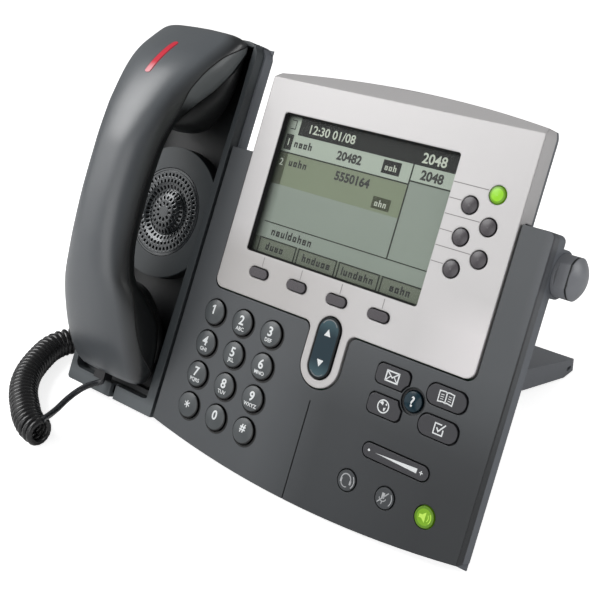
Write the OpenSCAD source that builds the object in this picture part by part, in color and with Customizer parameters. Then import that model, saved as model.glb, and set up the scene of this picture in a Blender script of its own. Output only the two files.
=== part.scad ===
// Desk IP telephone: two-shell housing with a handset cradle on the left, a raised display head,
// thirty-two keys, a corded handset and a folding footstand.
// Face frame: u runs right along the front face, v runs up it, n points out of it.
// World frame: +X right, +Y away from the user, +Z up, origin under the middle of the telephone.

/* [Stance] */
// Angle of the front face above the desk
face_tilt = 64.5; // [60:0.5:68]
// Height of the front face's lower edge above the desk
front_lift = 9; // [8.5:0.5:10]

/* [Housing] */
// Width of the housing, from the cradle's left edge line to the right side
body_w = 256.5; // [254:0.5:262]
// Height of the main housing along the face
body_h = 148; // [147:0.5:152]
// Height of the cradle tower along the face
tower_h = 203; // [202.5:0.5:205]
// How far the housing's left side lies left of the face's zero line
left_over = 1.5; // [1:0.5:3]
// Thickness of the housing walls
wall = 2.5; // [2:0.1:2.8]
// Depth of the front shell's edge
front_edge = 6; // [5.8:0.1:6.4]
// Depth of the edge of both shells together
rim_edge = 12.5; // [12.3:0.1:13]
// Depth of the housing at its back plane
body_d = 30; // [29:0.5:32]
// Sag of the bowed lower edge
bow_sag = 8; // [7:0.1:8.2]

/* [Cradle] */
// Distance from the zero line to the groove beside the cradle
cradle_w = 67.3; // [67:0.1:68.5]
// Width of the groove
groove_gap = 2.2; // [1.8:0.1:2.4]
// Depth of the wells that take the handset's ends
well_d = 12; // [11.5:0.5:12.5]
// Depth of the floor round the speaker grille
plateau_d = 4; // [3:0.5:5]
// Radius of the speaker grille
grille_r = 24.3; // [23:0.1:25.5]
// Radius of one grille hole
grille_hole_r = 0.9; // [0.7:0.05:1]

/* [Display head] */
// Distance from the groove to the bezel's left edge
bezel_off = 17.7; // [17:0.1:18.5]
// Width of the bezel
bezel_w = 154.8; // [153:0.1:155.5]
// Lower edge of the bezel
bezel_b = 77; // [76.5:0.1:78]
// Upper edge of the bezel's front face
bezel_t = 187.8; // [186:0.1:189]
// Highest point of the crowned top
crown_v = 196; // [195:0.1:198]
// How far the bezel stands proud of the housing
bezel_proud = 0.8; // [0.5:0.1:1.2]
// Gap between the bezel and the housing
bezel_gap = 0.9; // [0.6:0.1:1.2]
// Width of the display opening
window_w = 104; // [102:0.5:105]
// Height of the display opening
window_h = 72; // [70:0.5:73]

/* [Keys] */
// Radius of a dial key
dial_r = 6.5; // [6.2:0.1:6.8]
// Spacing of the dial keys across
dial_pu = 19.2; // [18.6:0.1:19.4]
// Spacing of the dial keys down
dial_pv = 16.6; // [16.2:0.1:16.8]
// Gap round every key
key_gap = 0.6; // [0.5:0.05:0.7]
// Travel of every key
key_travel = 1.2; // [0.8:0.1:1.3]
// Radius of a line key
line_r = 3.8; // [3.6:0.1:4]
// Radius of a headset, mute or speaker key
audio_r = 4.8; // [4.5:0.1:5]
// Height of a feature key
feature_h = 9.2; // [8.8:0.1:9.8]

/* [Handset] */
// Widest half width of the handset
handset_hw = 28.5; // [27.5:0.1:29]
// Half width of the grip
grip_hw = 18; // [16:0.5:19]
// Wall of the handset shells
handset_wall = 2.2; // [1.8:0.1:2.5]

/* [Footstand] */
// Distance from the housing's lower front edge back to the footstand's rear end
foot_reach = 200; // [195:1:205]
// Height of the footstand's rear end
foot_h = 9.2; // [8.5:0.1:10]
// Left side of the footstand
stand_l = 74; // [74:0.5:80]
// Right side of the footstand
stand_r = 208; // [200:0.5:212]
// Radius of the hinge axle
axle_r = 2.5; // [2:0.1:2.8]
// Radius of the adjustment knob
knob_r = 9.75; // [9:0.05:10.5]

/* [Cord] */
// Outer radius of the coiled cord
coil_r = 8; // [7:0.1:8]
// Radius of the cord's wire
lead_r = 1.8; // [1.5:0.1:2]

/* [Hidden] */
$fn = 48;

// Clearances
running = 0.05;        // radial clearance of a pin in its bore
seat = 0.3;            // gap between parts that move on each other
touch = 0.02;          // overlap that joins two shapes of one solid

// Housing
groove_lean = 0.013;   // the groove leans right by this much for each millimetre of height
pocket_lean = 0.03;    // and the pocket beside it leans by this much
bow_half = 94.5;
bow_r = (bow_half * bow_half + bow_sag * bow_sag) / (2 * bow_sag);
bow_u = 160;
tower_b = -1.5;
hump_top = 92;         // the deep part of the housing ends here
hump_rise = 20;        // and slopes back to the shallow part over this height
hump_inset = 17;
desk_clear = 1.2;      // thickness of the rubber feet

// Display head
bezel_l = cradle_w + bezel_off;
bezel_r = bezel_l + bezel_w;
bezel_mid = (bezel_l + bezel_r) / 2;
plate_back = 1.5;
head_d = 10.5;
lower_skirt = 4.5;
crown_drop = 5.5;
crown_r = (bezel_w * bezel_w / 4 + crown_drop * crown_drop) / (2 * crown_drop);
top_slope = atan((crown_v - bezel_t) / (head_d + bezel_proud));
window_mid = bezel_l + 65.6;
window_l = window_mid - window_w / 2;
window_r = window_mid + window_w / 2;
window_b = 99.5;
window_lip = 3;

// Board stack behind the keys
board_front = -6.5;
board_t = 1.6;
board_back = board_front - board_t;
mat_t = 1.2;
mat_front = board_front + mat_t;
flange_t = 1;
flange_out = 0.8;
stem_end = board_front + key_travel + seat;
dial_stem_end = mat_front + key_travel + seat;

// Key places
dial_top = 1.8;
dial_dome = 22;
dial_u0 = cradle_w + 22.7;
dial_v0 = 63.6;
line_u0 = window_r + window_lip + line_r + key_gap + flange_out + (bezel_r - window_r) * 0.0887;
line_du = (bezel_r - line_u0) * 0.459;
line_v0 = 157.3;
line_dv = 7.35;
soft_u0 = bezel_l + 25.7;
soft_du = 24.7;
soft_v = 90.1;
soft_w = 11.5;
soft_h = 4.6;
scroll_u = bezel_l + 76.2;
scroll_v = 67;
scroll_w = 13.2;
scroll_h = 30;
tab_w = 22.5;
tab_b = scroll_v - 19.3;
audio_u0 = bezel_l + 108;
audio_du = 21.4;
audio_v = 13.8;
help_u = bezel_l + 129.2;
help_v = 59;
help_r = 4.6;
help_ring = 6.2;
feature_dv = 14;
feature_w = 20;
feature_w_left = 17.8;
feature_left = -13.1;
feature_right = 15.8;
volume_u = help_u;
volume_v = 31;
volume_w = 35.5;
volume_h = 6.6;
rocker_r = 1.3;

// Cradle
pocket_l = 2.4;
pocket_r = cradle_w - 7.1;
pocket_b = 6.2;
pocket_t = tower_h - 2.6;
tub_wall = 1.2;
tub_floor = 1.5;
shelf_d = 7.8;         // the wells step in at this depth
shelf_in = 3;
plateau_r = 36;
grille_u = 32.5;
grille_v = 104;
grille_rim = 1.8;
grille_ledge = 2;
rest_r = 9;
rest_n = -6.3;
hook_r = 3;
hook_v = tower_h - 22;
hook_top = -3.2;
hook_travel = 3;
hook_stop = -well_d - tub_floor - hook_travel - seat;

// Handset: stations up the handset, each [v, share of half width, lower n, upper n].
handset_u = 32.5;
HANDSET = [[12.5, 0.76, -1, 8.5], [15, 0.88, -4.5, 12], [22, 0.97, -6, 18.5], [33, 1, -6, 27],
    [46, 0.98, -2.5, 34.5], [58, 0.88, 8, 40], [70, 0.72, 20, 44], [88, 0.645, 23.5, 47.5],
    [110, 0.63, 24, 49], [132, 0.645, 23.5, 48.5], [150, 0.72, 21.5, 45.5], [162, 0.82, 13.5, 42],
    [175, 0.95, 2.5, 36.5], [186, 1.03, -4, 29], [194.5, 1.04, -6, 21], [199, 1.03, -5, 16],
    [200.2, 1.02, 0.4, 15], [202.4, 0.99, 0.8, 11.5], [203.8, 0.93, 1.2, 8.8], [204.6, 0.85, 2, 7]];
SEAM = [[230, -12], [202, -8], [194, 6], [183, 18], [170, 23], [157, 27], [140, 29], [84, 29],
    [66, 26], [48, 20], [32, 12], [20, 3], [10, -3], [-10, -8]];
ring_points = 24;
end_hw = 28.5;
lamp_v = 182;
lamp_n = 31.5;
lamp_slope = 33.7;
lamp_w = 4;
lamp_l = 21;
plug_u = 29;
plug_w = 8;
plug_h = 6;
plug_low = 7.5;
plug_n = 4;

// Footstand
hinge_v = 131.5;
hinge_n = -17.5;
hinge_y = hinge_v * cos(face_tilt) - hinge_n * sin(face_tilt);
hinge_z = front_lift + hinge_v * sin(face_tilt) + hinge_n * cos(face_tilt);
barrel_r = axle_r + 2.2;
barrel_w = 14;
flange_w = 3;
knee_y = 144;
knee_z = 26;
skin = 2.5;
lug_w = 5;
knob_base = body_w - 5.5;
knob_l = 13.2;
knob_dome = 3.8;
knob_travel = 3;
knob_neck_r = 6;
neck_l = 10;
boss_l = 14.5;
boss_wall = 1.3;
knob_ball = (knob_r * knob_r + knob_dome * knob_dome) / (2 * knob_dome);
axle_l = stand_l - lug_w - seat - 1;
axle_end = body_w - 12;

// Sockets, in the world frame but measured from the face's zero line and lower edge
block_x0 = 92;
block_w = 76;
block_y = 38;
block_z = 20;
block_h = 20;
block_l = 16;
SOCKETS = [[8, 7.6, 6.6], [26, 12, 8.4], [46, 12, 8.4]];
socket_z = 6;
jack_x = 3;
jack_y = 33;
jack_z = 24;
jack_l = 12;
jack_w = 12;
jack_h = 10;
jack_hole_w = 8;
jack_hole_h = 6;
base_plug_out = 8;

// Origin: the middle of everything but the cord
x_mid = (knob_base + knob_l + knob_dome - left_over) / 2;
y_mid = (foot_reach + min([for (s = HANDSET) s[0] * cos(face_tilt) - s[3] * sin(face_tilt)])) / 2;

// Cord route, in the world frame but measured from the face's zero line and lower edge
HANDSET_LEAD = concat([face_point(plug_u, plug_low, plug_n), face_point(plug_u, plug_low - 2, plug_n)],
    [[27, -3.5, 15], [24.6, -8.7, 14.3], [23.7, -15, 13], [24.4, -22.1, 11.8], [26.5, -29.4, 11],
    [29.2, -36.2, 11.6], [31.5, -40.6, 12.8], [33, -44.3, 13.5]]);
COIL = [[35, -47.3, 8.2], [27, -46.3, 8.2], [17, -42.3, 8.2], [7, -36.3, 8.2], [-3, -29.8, 8.2],
    [-12, -22.3, 8.2], [-19, -14.8, 8.2], [-25, -6.3, 8.2], [-30, 2.7, 8.2], [-34, 11.7, 8.2],
    [-35, 20.7, 8.2], [-32, 29.7, 8.2], [-26, 36.7, 8.2]];
BASE_LEAD = [[-26, 36.7, 8.2], [-22.5, 35.5, 10.5], [-19.5, 34.5, 14], [-16.5, 34, 18],
    [-13, 33.3, 21.5], [-9, 33, 23.8], [-5, 33, 24]];

// ---- Frames and small helpers ----

module on_desk() {
    translate([-x_mid, -y_mid, 0])
        children();
}

module on_face() {
    on_desk()
        translate([0, 0, front_lift])
            rotate([face_tilt, 0, 0])
                children();
}

module above_desk(height) {
    intersection() {
        children();
        translate([-300, -300, height])
            cube([600, 600, 500]);
    }
}

module slab(n0, n1) {
    translate([0, 0, n0])
        linear_extrude(n1 - n0)
            children();
}

module rounded(x0, y0, x1, y1, r) {
    translate([x0 + r, y0])
        square([x1 - x0 - 2 * r, y1 - y0]);
    translate([x0, y0 + r])
        square([x1 - x0, y1 - y0 - 2 * r]);
    for (x = [x0 + r, x1 - r], y = [y0 + r, y1 - r])
        translate([x, y])
            circle(r);
}

module pill(w, h) {
    r = min(w, h) / 2;
    if (w > h) {
        translate([-w / 2 + r, -r])
            square([w - 2 * r, h]);
        for (x = [-w / 2 + r, w / 2 - r])
            translate([x, 0])
                circle(r);
    } else {
        translate([-r, -h / 2 + r])
            square([w, h - 2 * r]);
        for (y = [-h / 2 + r, h / 2 - r])
            translate([0, y])
                circle(r);
    }
}

function groove_u(v) = cradle_w + groove_lean * v;

// A face point in the desk frame
function face_point(u, v, n) = [u, v * cos(face_tilt) - n * sin(face_tilt),
    front_lift + v * sin(face_tilt) + n * cos(face_tilt)];

// ---- Outlines on the face, each shrunk by i ----

module main2d(i, left) {
    intersection() {
        polygon([[left + i, -20], [body_w + 1, -20], [body_w + 1, body_h + 1],
            [left + groove_lean * (body_h + 20) + i, body_h + 1]]);
        rounded(cradle_w - 60, -40, body_w - i, body_h - i, 3);
        translate([bow_u, bow_r - bow_sag])
            circle(bow_r - i, $fn = 360);
    }
}

module tower2d(i, gap) {
    intersection() {
        rounded(-left_over + i, tower_b + i, cradle_w + 30, tower_h - i, 2);
        polygon([[-20, -20], [groove_u(-20) - gap - i, -20], [groove_u(230) - gap - i, 230], [-20, 230]]);
        rounded(-left_over - 20, -60, groove_u(tower_h) - gap - i, tower_h - i, 8);
    }
}

module base2d(i) {
    tower2d(i, 0);
    main2d(i, groove_u(-20) - 10);
}

module pocket2d(i) {
    intersection() {
        rounded(pocket_l + i, pocket_b + i, pocket_r + 15, pocket_t - i, 4);
        polygon([[-20, 0], [pocket_r - i, 0], [pocket_r + pocket_lean * 230 - i, 230], [-20, 230]]);
        rounded(-20, pocket_b + i, pocket_r + pocket_lean * pocket_b + 5 - i, 230, 9);
    }
}

module well2d(i) {
    intersection() {
        pocket2d(shelf_in + i);
        translate([-20, 0])
            square([200, tower_h - 7.5 - i]);
    }
}

module tab2d(i) {
    r = tab_w / 2 - i;
    translate([scroll_u, tab_b + tab_w / 2])
        circle(r);
    translate([scroll_u - r, tab_b + tab_w / 2])
        square([2 * r, bezel_b + 6 - tab_b - tab_w / 2]);
    fillet = 4;
    for (side = [-1, 1])
        difference() {
            translate([scroll_u + side * (r + fillet / 2 - 0.05), bezel_b + i - fillet / 2 + 0.05])
                square(fillet, center = true);
            translate([scroll_u + side * (r + fillet), bezel_b + i - fillet])
                circle(fillet);
        }
}

module bezel2d(i) {
    intersection() {
        rounded(bezel_l + i, bezel_b + i, bezel_r - i, crown_v + 40, 5);
        rounded(bezel_l + i, -80, bezel_r - i, crown_v - i, 10);
        translate([bezel_mid, crown_v - crown_r])
            circle(crown_r - i, $fn = 360);
    }
    tab2d(i);
}

module below_crown(i) {
    intersection() {
        children();
        translate([0, bezel_t - i, bezel_proud])
            rotate([top_slope, 0, 0])
                translate([0, -400, -200])
                    cube([400, 400, 400]);
    }
}

// ---- Key outlines, each grown by g and centred on the key's own middle ----

module round_key2d(r, g) {
    circle(r + g);
}

// A feature key beside the round help key: a rounded bar cut back by the help key's ring.
module feature2d(side, up, g) {
    difference() {
        half = (side > 0 ? feature_w : feature_w_left) / 2 + g;
        translate([side > 0 ? feature_right : feature_left, up * feature_dv / 2])
            rounded(-half, -feature_h / 2 - g, half, feature_h / 2 + g, side > 0 ? 4.4 : 3);
        circle(help_ring + 1.2 - g);
    }
}

// ---- Keys ----

// A key with a domed cap, a holding flange under the panel and a stem.
module key_solid(cap_top, panel_back, low, dome_r) {
    intersection() {
        slab(low, cap_top)
            children(0);
        if (dome_r > 0)
            translate([0, 0, cap_top - dome_r])
                sphere(dome_r, $fn = 120);
        else
            translate([-100, -100, -50])
                cube([200, 200, 100]);
    }
    slab(panel_back - seat - flange_t, panel_back - seat)
        children(1);
}

module round_key(u, v, r, cap_top, panel_back, low, dome_r) {
    on_face()
        translate([u, v, 0])
            key_solid(cap_top, panel_back, low, dome_r) {
                circle(r);
                circle(r + key_gap + flange_out);
            }
}

module dial_key(column, row) {
    color([0.2, 0.22, 0.24])
        round_key(dial_u0 + column * dial_pu, dial_v0 - row * dial_pv, dial_r, dial_top, -wall,
            dial_stem_end, dial_dome);
}

module line_key(i) {
    color(i == 0 ? [0.5, 0.9, 0.1] : [0.25, 0.26, 0.28])
        round_key(line_u0 + (i % 2 == 0 ? line_du : 0), line_v0 - i * line_dv, line_r,
            bezel_proud + 0.9, -plate_back, stem_end, 14);
}

module soft_key(i) {
    color([0.25, 0.26, 0.28])
        on_face()
            translate([soft_u0 + i * soft_du, soft_v, 0])
                key_solid(bezel_proud + 0.9, -plate_back, stem_end, 0) {
                    pill(soft_w, soft_h);
                    pill(soft_w + 2 * (key_gap + flange_out), soft_h + 2 * (key_gap + flange_out));
                }
}

module feature_key(side, up) {
    color([0.24, 0.25, 0.27])
        on_face()
            translate([help_u, help_v, 0])
                key_solid(0.7, -wall, stem_end, 0) {
                    feature2d(side, up, 0);
                    intersection() {
                        feature2d(side, up, key_gap + flange_out);
                        translate([side * 40, up * 40.3])
                            square(80, center = true);
                    }
                }
}

module help_key() {
    color([0.1, 0.25, 0.28])
        on_face()
            translate([help_u, help_v, 0])
                key_solid(0.6, -wall, stem_end, 20) {
                    circle(help_r);
                    circle(help_ring - 0.8);
                }
}

module audio_key(i, tint) {
    color(tint)
        round_key(audio_u0 + i * audio_du, audio_v, audio_r, 0.4, -wall, stem_end, 0);
}

// A rocker turns on a round bar that lies across it, and tips a little each way.
module rocker(u, v, w, h, top, low) {
    long = min(w, h) - 1.6;
    on_face()
        translate([u, v, 0]) {
            slab(low, top)
                pill(w, h);
            translate([0, 0, board_front + seat + rocker_r])
                rotate(w > h ? [90, 0, 0] : [0, 90, 0])
                    cylinder(r = rocker_r, h = long, center = true);
            slab(board_front + seat + rocker_r, low + touch)
                square(w > h ? [1.6, long] : [long, 1.6], center = true);
        }
}

module scroll_key() {
    color([0.1, 0.2, 0.24])
        rocker(scroll_u, scroll_v, scroll_w, scroll_h, bezel_proud + 0.7, -3.4);
}

module volume_key() {
    color([0.25, 0.26, 0.28])
        rocker(volume_u, volume_v, volume_w, volume_h, 0.3, -4);
}

module key_wells() {
    for (column = [0:2], row = [0:3])
        translate([dial_u0 + column * dial_pu, dial_v0 - row * dial_pv])
            circle(dial_r + key_gap);
    for (i = [0:2])
        translate([audio_u0 + i * audio_du, audio_v])
            circle(audio_r + key_gap);
    translate([help_u, help_v])
        circle(help_r + key_gap);
    for (side = [-1, 1], up = [-1, 1])
        translate([help_u, help_v])
            feature2d(side, up, key_gap);
    translate([volume_u, volume_v])
        pill(volume_w + 2 * key_gap, volume_h + 2 * key_gap);
}

// ---- Housing ----

SCREWS_SHALLOW = [[77.5, 140], [body_w - 8.2, 116.5]];
SCREWS_DEEP = [[76.5, 24], [173.5, 20]];
boss_r = 3.4;
screw_r = 1.5;
screw_head_r = 2.9;
screw_head_t = 1.6;
BOARD_PEGS = [[101, 74], [100, 112], [200, 112], [184, 44]];

module front_housing() {
    left = groove_u(-20) + groove_gap / 2;
    color([0.27, 0.28, 0.3])
        above_desk(desk_clear)
            on_face()
                difference() {
                    union() {
                        slab(-wall, 0)
                            main2d(0, left);
                        difference() {
                            slab(-front_edge, -touch)
                                main2d(0, left);
                            slab(-front_edge - 1, -wall)
                                main2d(wall, left);
                        }
                        for (p = concat(SCREWS_SHALLOW, SCREWS_DEEP))
                            translate([p[0], p[1], 0])
                                slab(-front_edge, -wall + touch)
                                    circle(boss_r);
                    }
                    slab(-front_edge - 1, 1)
                        bezel2d(-bezel_gap);
                    slab(-front_edge - 1, 1)
                        key_wells();
                    // dished ring round the help key
                    translate([help_u, help_v, 0])
                        slab(-1, 1)
                            circle(help_ring);
                    // fine line between the dial side and the feature side
                    translate([scroll_u - 0.3, -10, -0.6])
                        cube([0.6, 51, 2]);
                    for (p = concat(SCREWS_SHALLOW, SCREWS_DEEP))
                        translate([p[0], p[1], -front_edge - 1])
                            cylinder(r = screw_r - 0.2, h = front_edge - 1);
                }
}

module hump(i, front) {
    back = -body_d + i;
    hull() {
        slab(front, front + 0.5)
            translate([-left_over + i, tower_b - 4])
                square([body_w + left_over - 2 * i, hump_top - tower_b + 4 + hump_rise - i]);
        slab(back, back + 0.5)
            translate([-left_over + hump_inset + i, tower_b - 4])
                square([body_w + left_over - 2 * hump_inset - 2 * i, hump_top - tower_b + 4 - i]);
    }
}

// The tower's back narrows away from the notch beside the display head.
module tower_hump2d(i, left, right, top) {
    low = hump_top - 10;
    polygon([[left + i, low], [groove_u(low) - right - i, low], [groove_u(top) - right - i, top - i],
        [left + i, top - i]]);
}

module tower_hump(i, front) {
    back = -body_d + 4 + i;
    hull() {
        slab(front, front + 0.5)
            tower_hump2d(i, -left_over, 0.5, tower_h - 1);
        slab(back, back + 0.5)
            tower_hump2d(i, 7.5, 20, tower_h - 14);
    }
}

module hinge_tube(x0, x1, r) {
    translate([x0, hinge_v, hinge_n])
        rotate([0, 90, 0])
            cylinder(r = r, h = x1 - x0);
}

// A lug ties a bearing ring to the shallow back of the housing.
module hinge_lug(x0, x1, r) {
    hinge_tube(x0, x1, r);
    translate([x0, hinge_v - r, hinge_n])
        cube([x1 - x0, 2 * r, -rim_edge + 1 - hinge_n]);
}

module rear_housing() {
    neck_bore = knob_neck_r + running;
    color([0.3, 0.32, 0.34])
        above_desk(desk_clear)
            difference() {
                on_face()
                    difference() {
                        union() {
                            slab(-rim_edge, -front_edge)
                                base2d(0);
                            hump(0, -rim_edge + 0.5);
                            tower_hump(0, -rim_edge + 0.5);
                            below_crown(0)
                                slab(-rim_edge, -head_d)
                                    intersection() {
                                        bezel2d(0);
                                        translate([0, body_h - 6])
                                            square([400, 100]);
                                    }
                            hinge_lug(stand_l - seat - lug_w, stand_l - seat, barrel_r + 1);
                            hinge_lug(stand_r + seat, stand_r + seat + lug_w, barrel_r + 1);
                            hinge_lug(body_w - boss_l, body_w, knob_r + running + boss_wall);
                        }
                        difference() {
                            intersection() {
                                union() {
                                    slab(-rim_edge + wall, -front_edge + 1)
                                        base2d(wall);
                                    hump(wall, -rim_edge + wall + 0.5);
                                    tower_hump(wall, -rim_edge + wall + 0.5);
                                }
                                rotate([-face_tilt, 0, 0])
                                    translate([-100, -200, desk_clear + wall - front_lift])
                                        cube([500, 500, 300]);
                            }
                            // rib under the groove
                            slab(-rim_edge, -front_edge)
                                translate([cradle_w, 0])
                                    polygon([[-3, -10], [3, -10], [3 + groove_lean * body_h, body_h],
                                        [-3 + groove_lean * body_h, body_h]]);
                            for (p = SCREWS_SHALLOW)
                                translate([p[0], p[1], 0])
                                    slab(-rim_edge, -front_edge)
                                        circle(boss_r);
                            for (p = SCREWS_DEEP)
                                translate([p[0], p[1], 0])
                                    slab(-body_d, -front_edge)
                                        circle(boss_r);
                            for (p = BOARD_PEGS)
                                translate([p[0], p[1], 0])
                                    slab(-body_d, board_back)
                                        circle(2.5);
                            hinge_lug(body_w - boss_l, body_w, knob_r + running + boss_wall);
                        }
                        // room for the cradle's tub
                        slab(-shelf_d - tub_floor - seat, -front_edge + 1)
                            pocket2d(-tub_wall - 0.2);
                        slab(-well_d - tub_floor - seat, -shelf_d)
                            well2d(-tub_wall - 0.2);
                        // way up into the display head
                        slab(-head_d, -front_edge + 1)
                            translate([bezel_l + 2, body_h - 8])
                                square([bezel_w - 4, 20]);
                        hinge_tube(stand_l - 20, stand_r + 20, axle_r + running);
                        hinge_tube(knob_base - neck_l - knob_travel - seat, body_w + 5, neck_bore);
                        hinge_tube(knob_base - knob_travel - seat, body_w + 5, knob_r + running);
                        for (p = SCREWS_SHALLOW)
                            screw_hole(p, -rim_edge);
                        for (p = SCREWS_DEEP)
                            screw_hole(p, -body_d);
                        for (u = [78, 178])
                            translate([u, 70, -body_d - 1])
                                cylinder(r = 2.2, h = wall + 2);
                    }
                on_desk()
                    jack_cuts();
            }
}

module screw_hole(p, back) {
    translate([p[0], p[1], back - 1])
        cylinder(r = screw_r + 0.2, h = -back + 4);
    translate([p[0], p[1], back - 1])
        cylinder(r = screw_head_r + 0.3, h = 1 + screw_head_t);
}

module housing_screws() {
    color("silver")
        on_face() {
            for (p = SCREWS_SHALLOW)
                screw(p, -rim_edge);
            for (p = SCREWS_DEEP)
                screw(p, -body_d);
        }
}

module screw(p, back) {
    translate([p[0], p[1], back])
        difference() {
            union() {
                cylinder(r = screw_head_r, h = screw_head_t);
                cylinder(r = screw_r - 0.25, h = -back - 3.5);
            }
            translate([-2, -0.4, -1])
                cube([4, 0.8, 1.8]);
            translate([-0.4, -2, -1])
                cube([0.8, 4, 1.8]);
        }
}

// ---- Jacks ----

module jack_cuts() {
    translate([block_x0 - seat, block_y - seat, block_z - seat])
        cube([block_w + 2 * seat, 60, block_h + 2 * seat]);
    translate([jack_x - 40, jack_y - jack_w / 2 - seat, jack_z - jack_h / 2 - seat])
        cube([jack_l + 40 + seat, jack_w + 2 * seat, jack_h + 2 * seat]);
}

// The network, headset and power sockets in one block at the back, and the handset's socket
// in a small block of its own at the left.
module jack_blocks() {
    color([0.12, 0.12, 0.13])
        on_desk() {
            difference() {
                translate([block_x0, block_y, block_z])
                    cube([block_w, block_l, block_h]);
                for (s = SOCKETS)
                    translate([block_x0 + s[0], block_y + 3, block_z + socket_z])
                        cube([s[1], block_l, s[2]]);
                translate([block_x0 + 68, block_y + 3, block_z + block_h / 2])
                    rotate([-90, 0, 0])
                        cylinder(r = 3, h = block_l);
            }
            difference() {
                translate([jack_x, jack_y - jack_w / 2, jack_z - jack_h / 2])
                    cube([jack_l, jack_w, jack_h]);
                translate([jack_x - 1, jack_y - jack_hole_w / 2, jack_z - jack_hole_h / 2])
                    cube([jack_l - 1, jack_hole_w, jack_hole_h]);
            }
        }
}

module base_plug() {
    w = jack_hole_w - 0.6;
    h = jack_hole_h - 0.6;
    color([0.2, 0.2, 0.21])
        on_desk()
            translate([jack_x - base_plug_out, jack_y - w / 2, jack_z - h / 2])
                cube([base_plug_out + jack_l - 2 - seat, w, h]);
}

// ---- Cradle ----

module grille_place() {
    translate([grille_u, grille_v, 0])
        children();
}

module handset_cradle() {
    color([0.25, 0.26, 0.28])
        above_desk(desk_clear)
            on_face()
                difference() {
                    union() {
                        slab(-wall, 0)
                            tower2d(0, groove_gap / 2);
                        difference() {
                            slab(-front_edge, -touch)
                                tower2d(0, groove_gap / 2);
                            slab(-front_edge - 1, -wall)
                                tower2d(wall, groove_gap / 2);
                        }
                        slab(-shelf_d - tub_floor, -touch)
                            pocket2d(-tub_wall);
                        slab(-well_d - tub_floor, -shelf_d)
                            well2d(-tub_wall);
                    }
                    difference() {
                        union() {
                            slab(-shelf_d, 1)
                                pocket2d(0);
                            slab(-well_d, -shelf_d + touch)
                                well2d(0);
                        }
                        slab(-well_d - 1, -plateau_d)
                            grille_place()
                                circle(plateau_r, $fn = 96);
                        for (v = [36, 190])
                            translate([handset_u, v, 0])
                                slab(-well_d - 1, rest_n)
                                    circle(rest_r);
                    }
                    // room under the plateau for the loudspeaker
                    grille_place()
                        slab(-well_d - 4, -plateau_d - grille_ledge - grille_rim)
                            circle(plateau_r - 9);
                    grille_place()
                        slab(-well_d - 4, 1)
                            circle(grille_r - 1.6);
                    grille_place()
                        slab(-plateau_d - grille_rim, 1)
                            circle(grille_r + 0.15);
                    // slot for the handset cord
                    translate([33, -5, -4])
                        cube([3.6, 16, 6]);
                    // hookswitch hole
                    translate([handset_u + 13, hook_v, -well_d - 4])
                        cylinder(r = hook_r + 0.3, h = 20);
                }
}

module hookswitch() {
    color([0.1, 0.1, 0.11])
        on_face()
            translate([handset_u + 13, hook_v, 0]) {
                slab(hook_stop, hook_top)
                    circle(hook_r);
                slab(hook_stop - 1, hook_stop + touch)
                    circle(hook_r + 1.5);
            }
}

// Dished grille with a raised middle, pierced by rings of holes. Each ring of holes lies in the
// middle of one cone of the dish.
GRILLE_CONES = [[0, 0], [5.5, -0.4], [10, -1.8], [14.5, -4.5], [18.9, -2.3], [23.2, -0.2]];
grille_t = 1.4;

module speaker_grille() {
    last = len(GRILLE_CONES) - 1;
    color([0.5, 0.52, 0.55])
        on_face()
            grille_place()
                translate([0, 0, -plateau_d])
                    difference() {
                        rotate_extrude($fn = 120)
                            polygon(concat(GRILLE_CONES,
                                [[grille_r, -0.2], [grille_r, -grille_rim], [22.4, -grille_rim]],
                                [for (k = [last - 1:-1:0]) GRILLE_CONES[k] - [0, grille_t]]));
                        for (k = [0:last - 1])
                            grille_ring((GRILLE_CONES[k][0] + GRILLE_CONES[k + 1][0]) / 2, 6 + 5 * k);
                    }
}

module grille_ring(r, count) {
    for (k = [0:count - 1])
        rotate([0, 0, k * 360 / count])
            translate([r, 0, -9])
                cylinder(r = grille_hole_r, h = 12, $fn = 16);
}

module loudspeaker() {
    top = -plateau_d - grille_ledge - grille_rim;
    r = plateau_r - 9.5;
    color([0.15, 0.15, 0.16])
        on_face()
            grille_place()
                difference() {
                    translate([0, 0, top])
                        rotate([180, 0, 0])
                            union() {
                                cylinder(r = r, h = 4.2);
                                cylinder(r = 12, h = 12);
                            }
                    translate([0, 0, top - 2.6])
                        cylinder(r = r - 3, h = 5);
                }
}

// ---- Display ----

module display_bezel() {
    color([0.78, 0.78, 0.79])
        on_face()
            difference() {
                below_crown(0)
                    slab(-head_d, bezel_proud)
                        bezel2d(0);
                below_crown(wall)
                    slab(-head_d - 1, -plate_back)
                        bezel2d(wall);
                slab(-head_d - 1, -lower_skirt)
                    translate([0, -20])
                        square([400, body_h + 20.6]);
                slab(-5, 3)
                    rounded(window_l, window_b, window_l + window_w, window_b + window_h, 1.5);
                for (i = [0:5])
                    translate([line_u0 + (i % 2 == 0 ? line_du : 0), line_v0 - i * line_dv, -5])
                        cylinder(r = line_r + key_gap, h = 10);
                for (i = [0:3])
                    translate([soft_u0 + i * soft_du, soft_v, 0])
                        slab(-5, 3)
                            pill(soft_w + 2 * key_gap, soft_h + 2 * key_gap);
                translate([scroll_u, scroll_v, 0])
                    slab(-5, 3)
                        pill(scroll_w + 2 * key_gap, scroll_h + 2 * key_gap);
            }
}

module display_window() {
    color([0.75, 0.8, 0.78, 0.35])
        on_face()
            slab(-plate_back - 1.4, -plate_back)
                translate([window_l - window_lip, window_b - window_lip])
                    square([window_w + 2 * window_lip, window_h + 2 * window_lip]);
}

module lcd_panel() {
    color([0.6, 0.68, 0.6])
        on_face()
            slab(board_front, -plate_back - 1.4 - seat)
                translate([window_l - window_lip - 1, window_b - window_lip + 0.5])
                    square([window_w + 2 * window_lip + 1, window_h + 2 * window_lip]);
}

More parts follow.
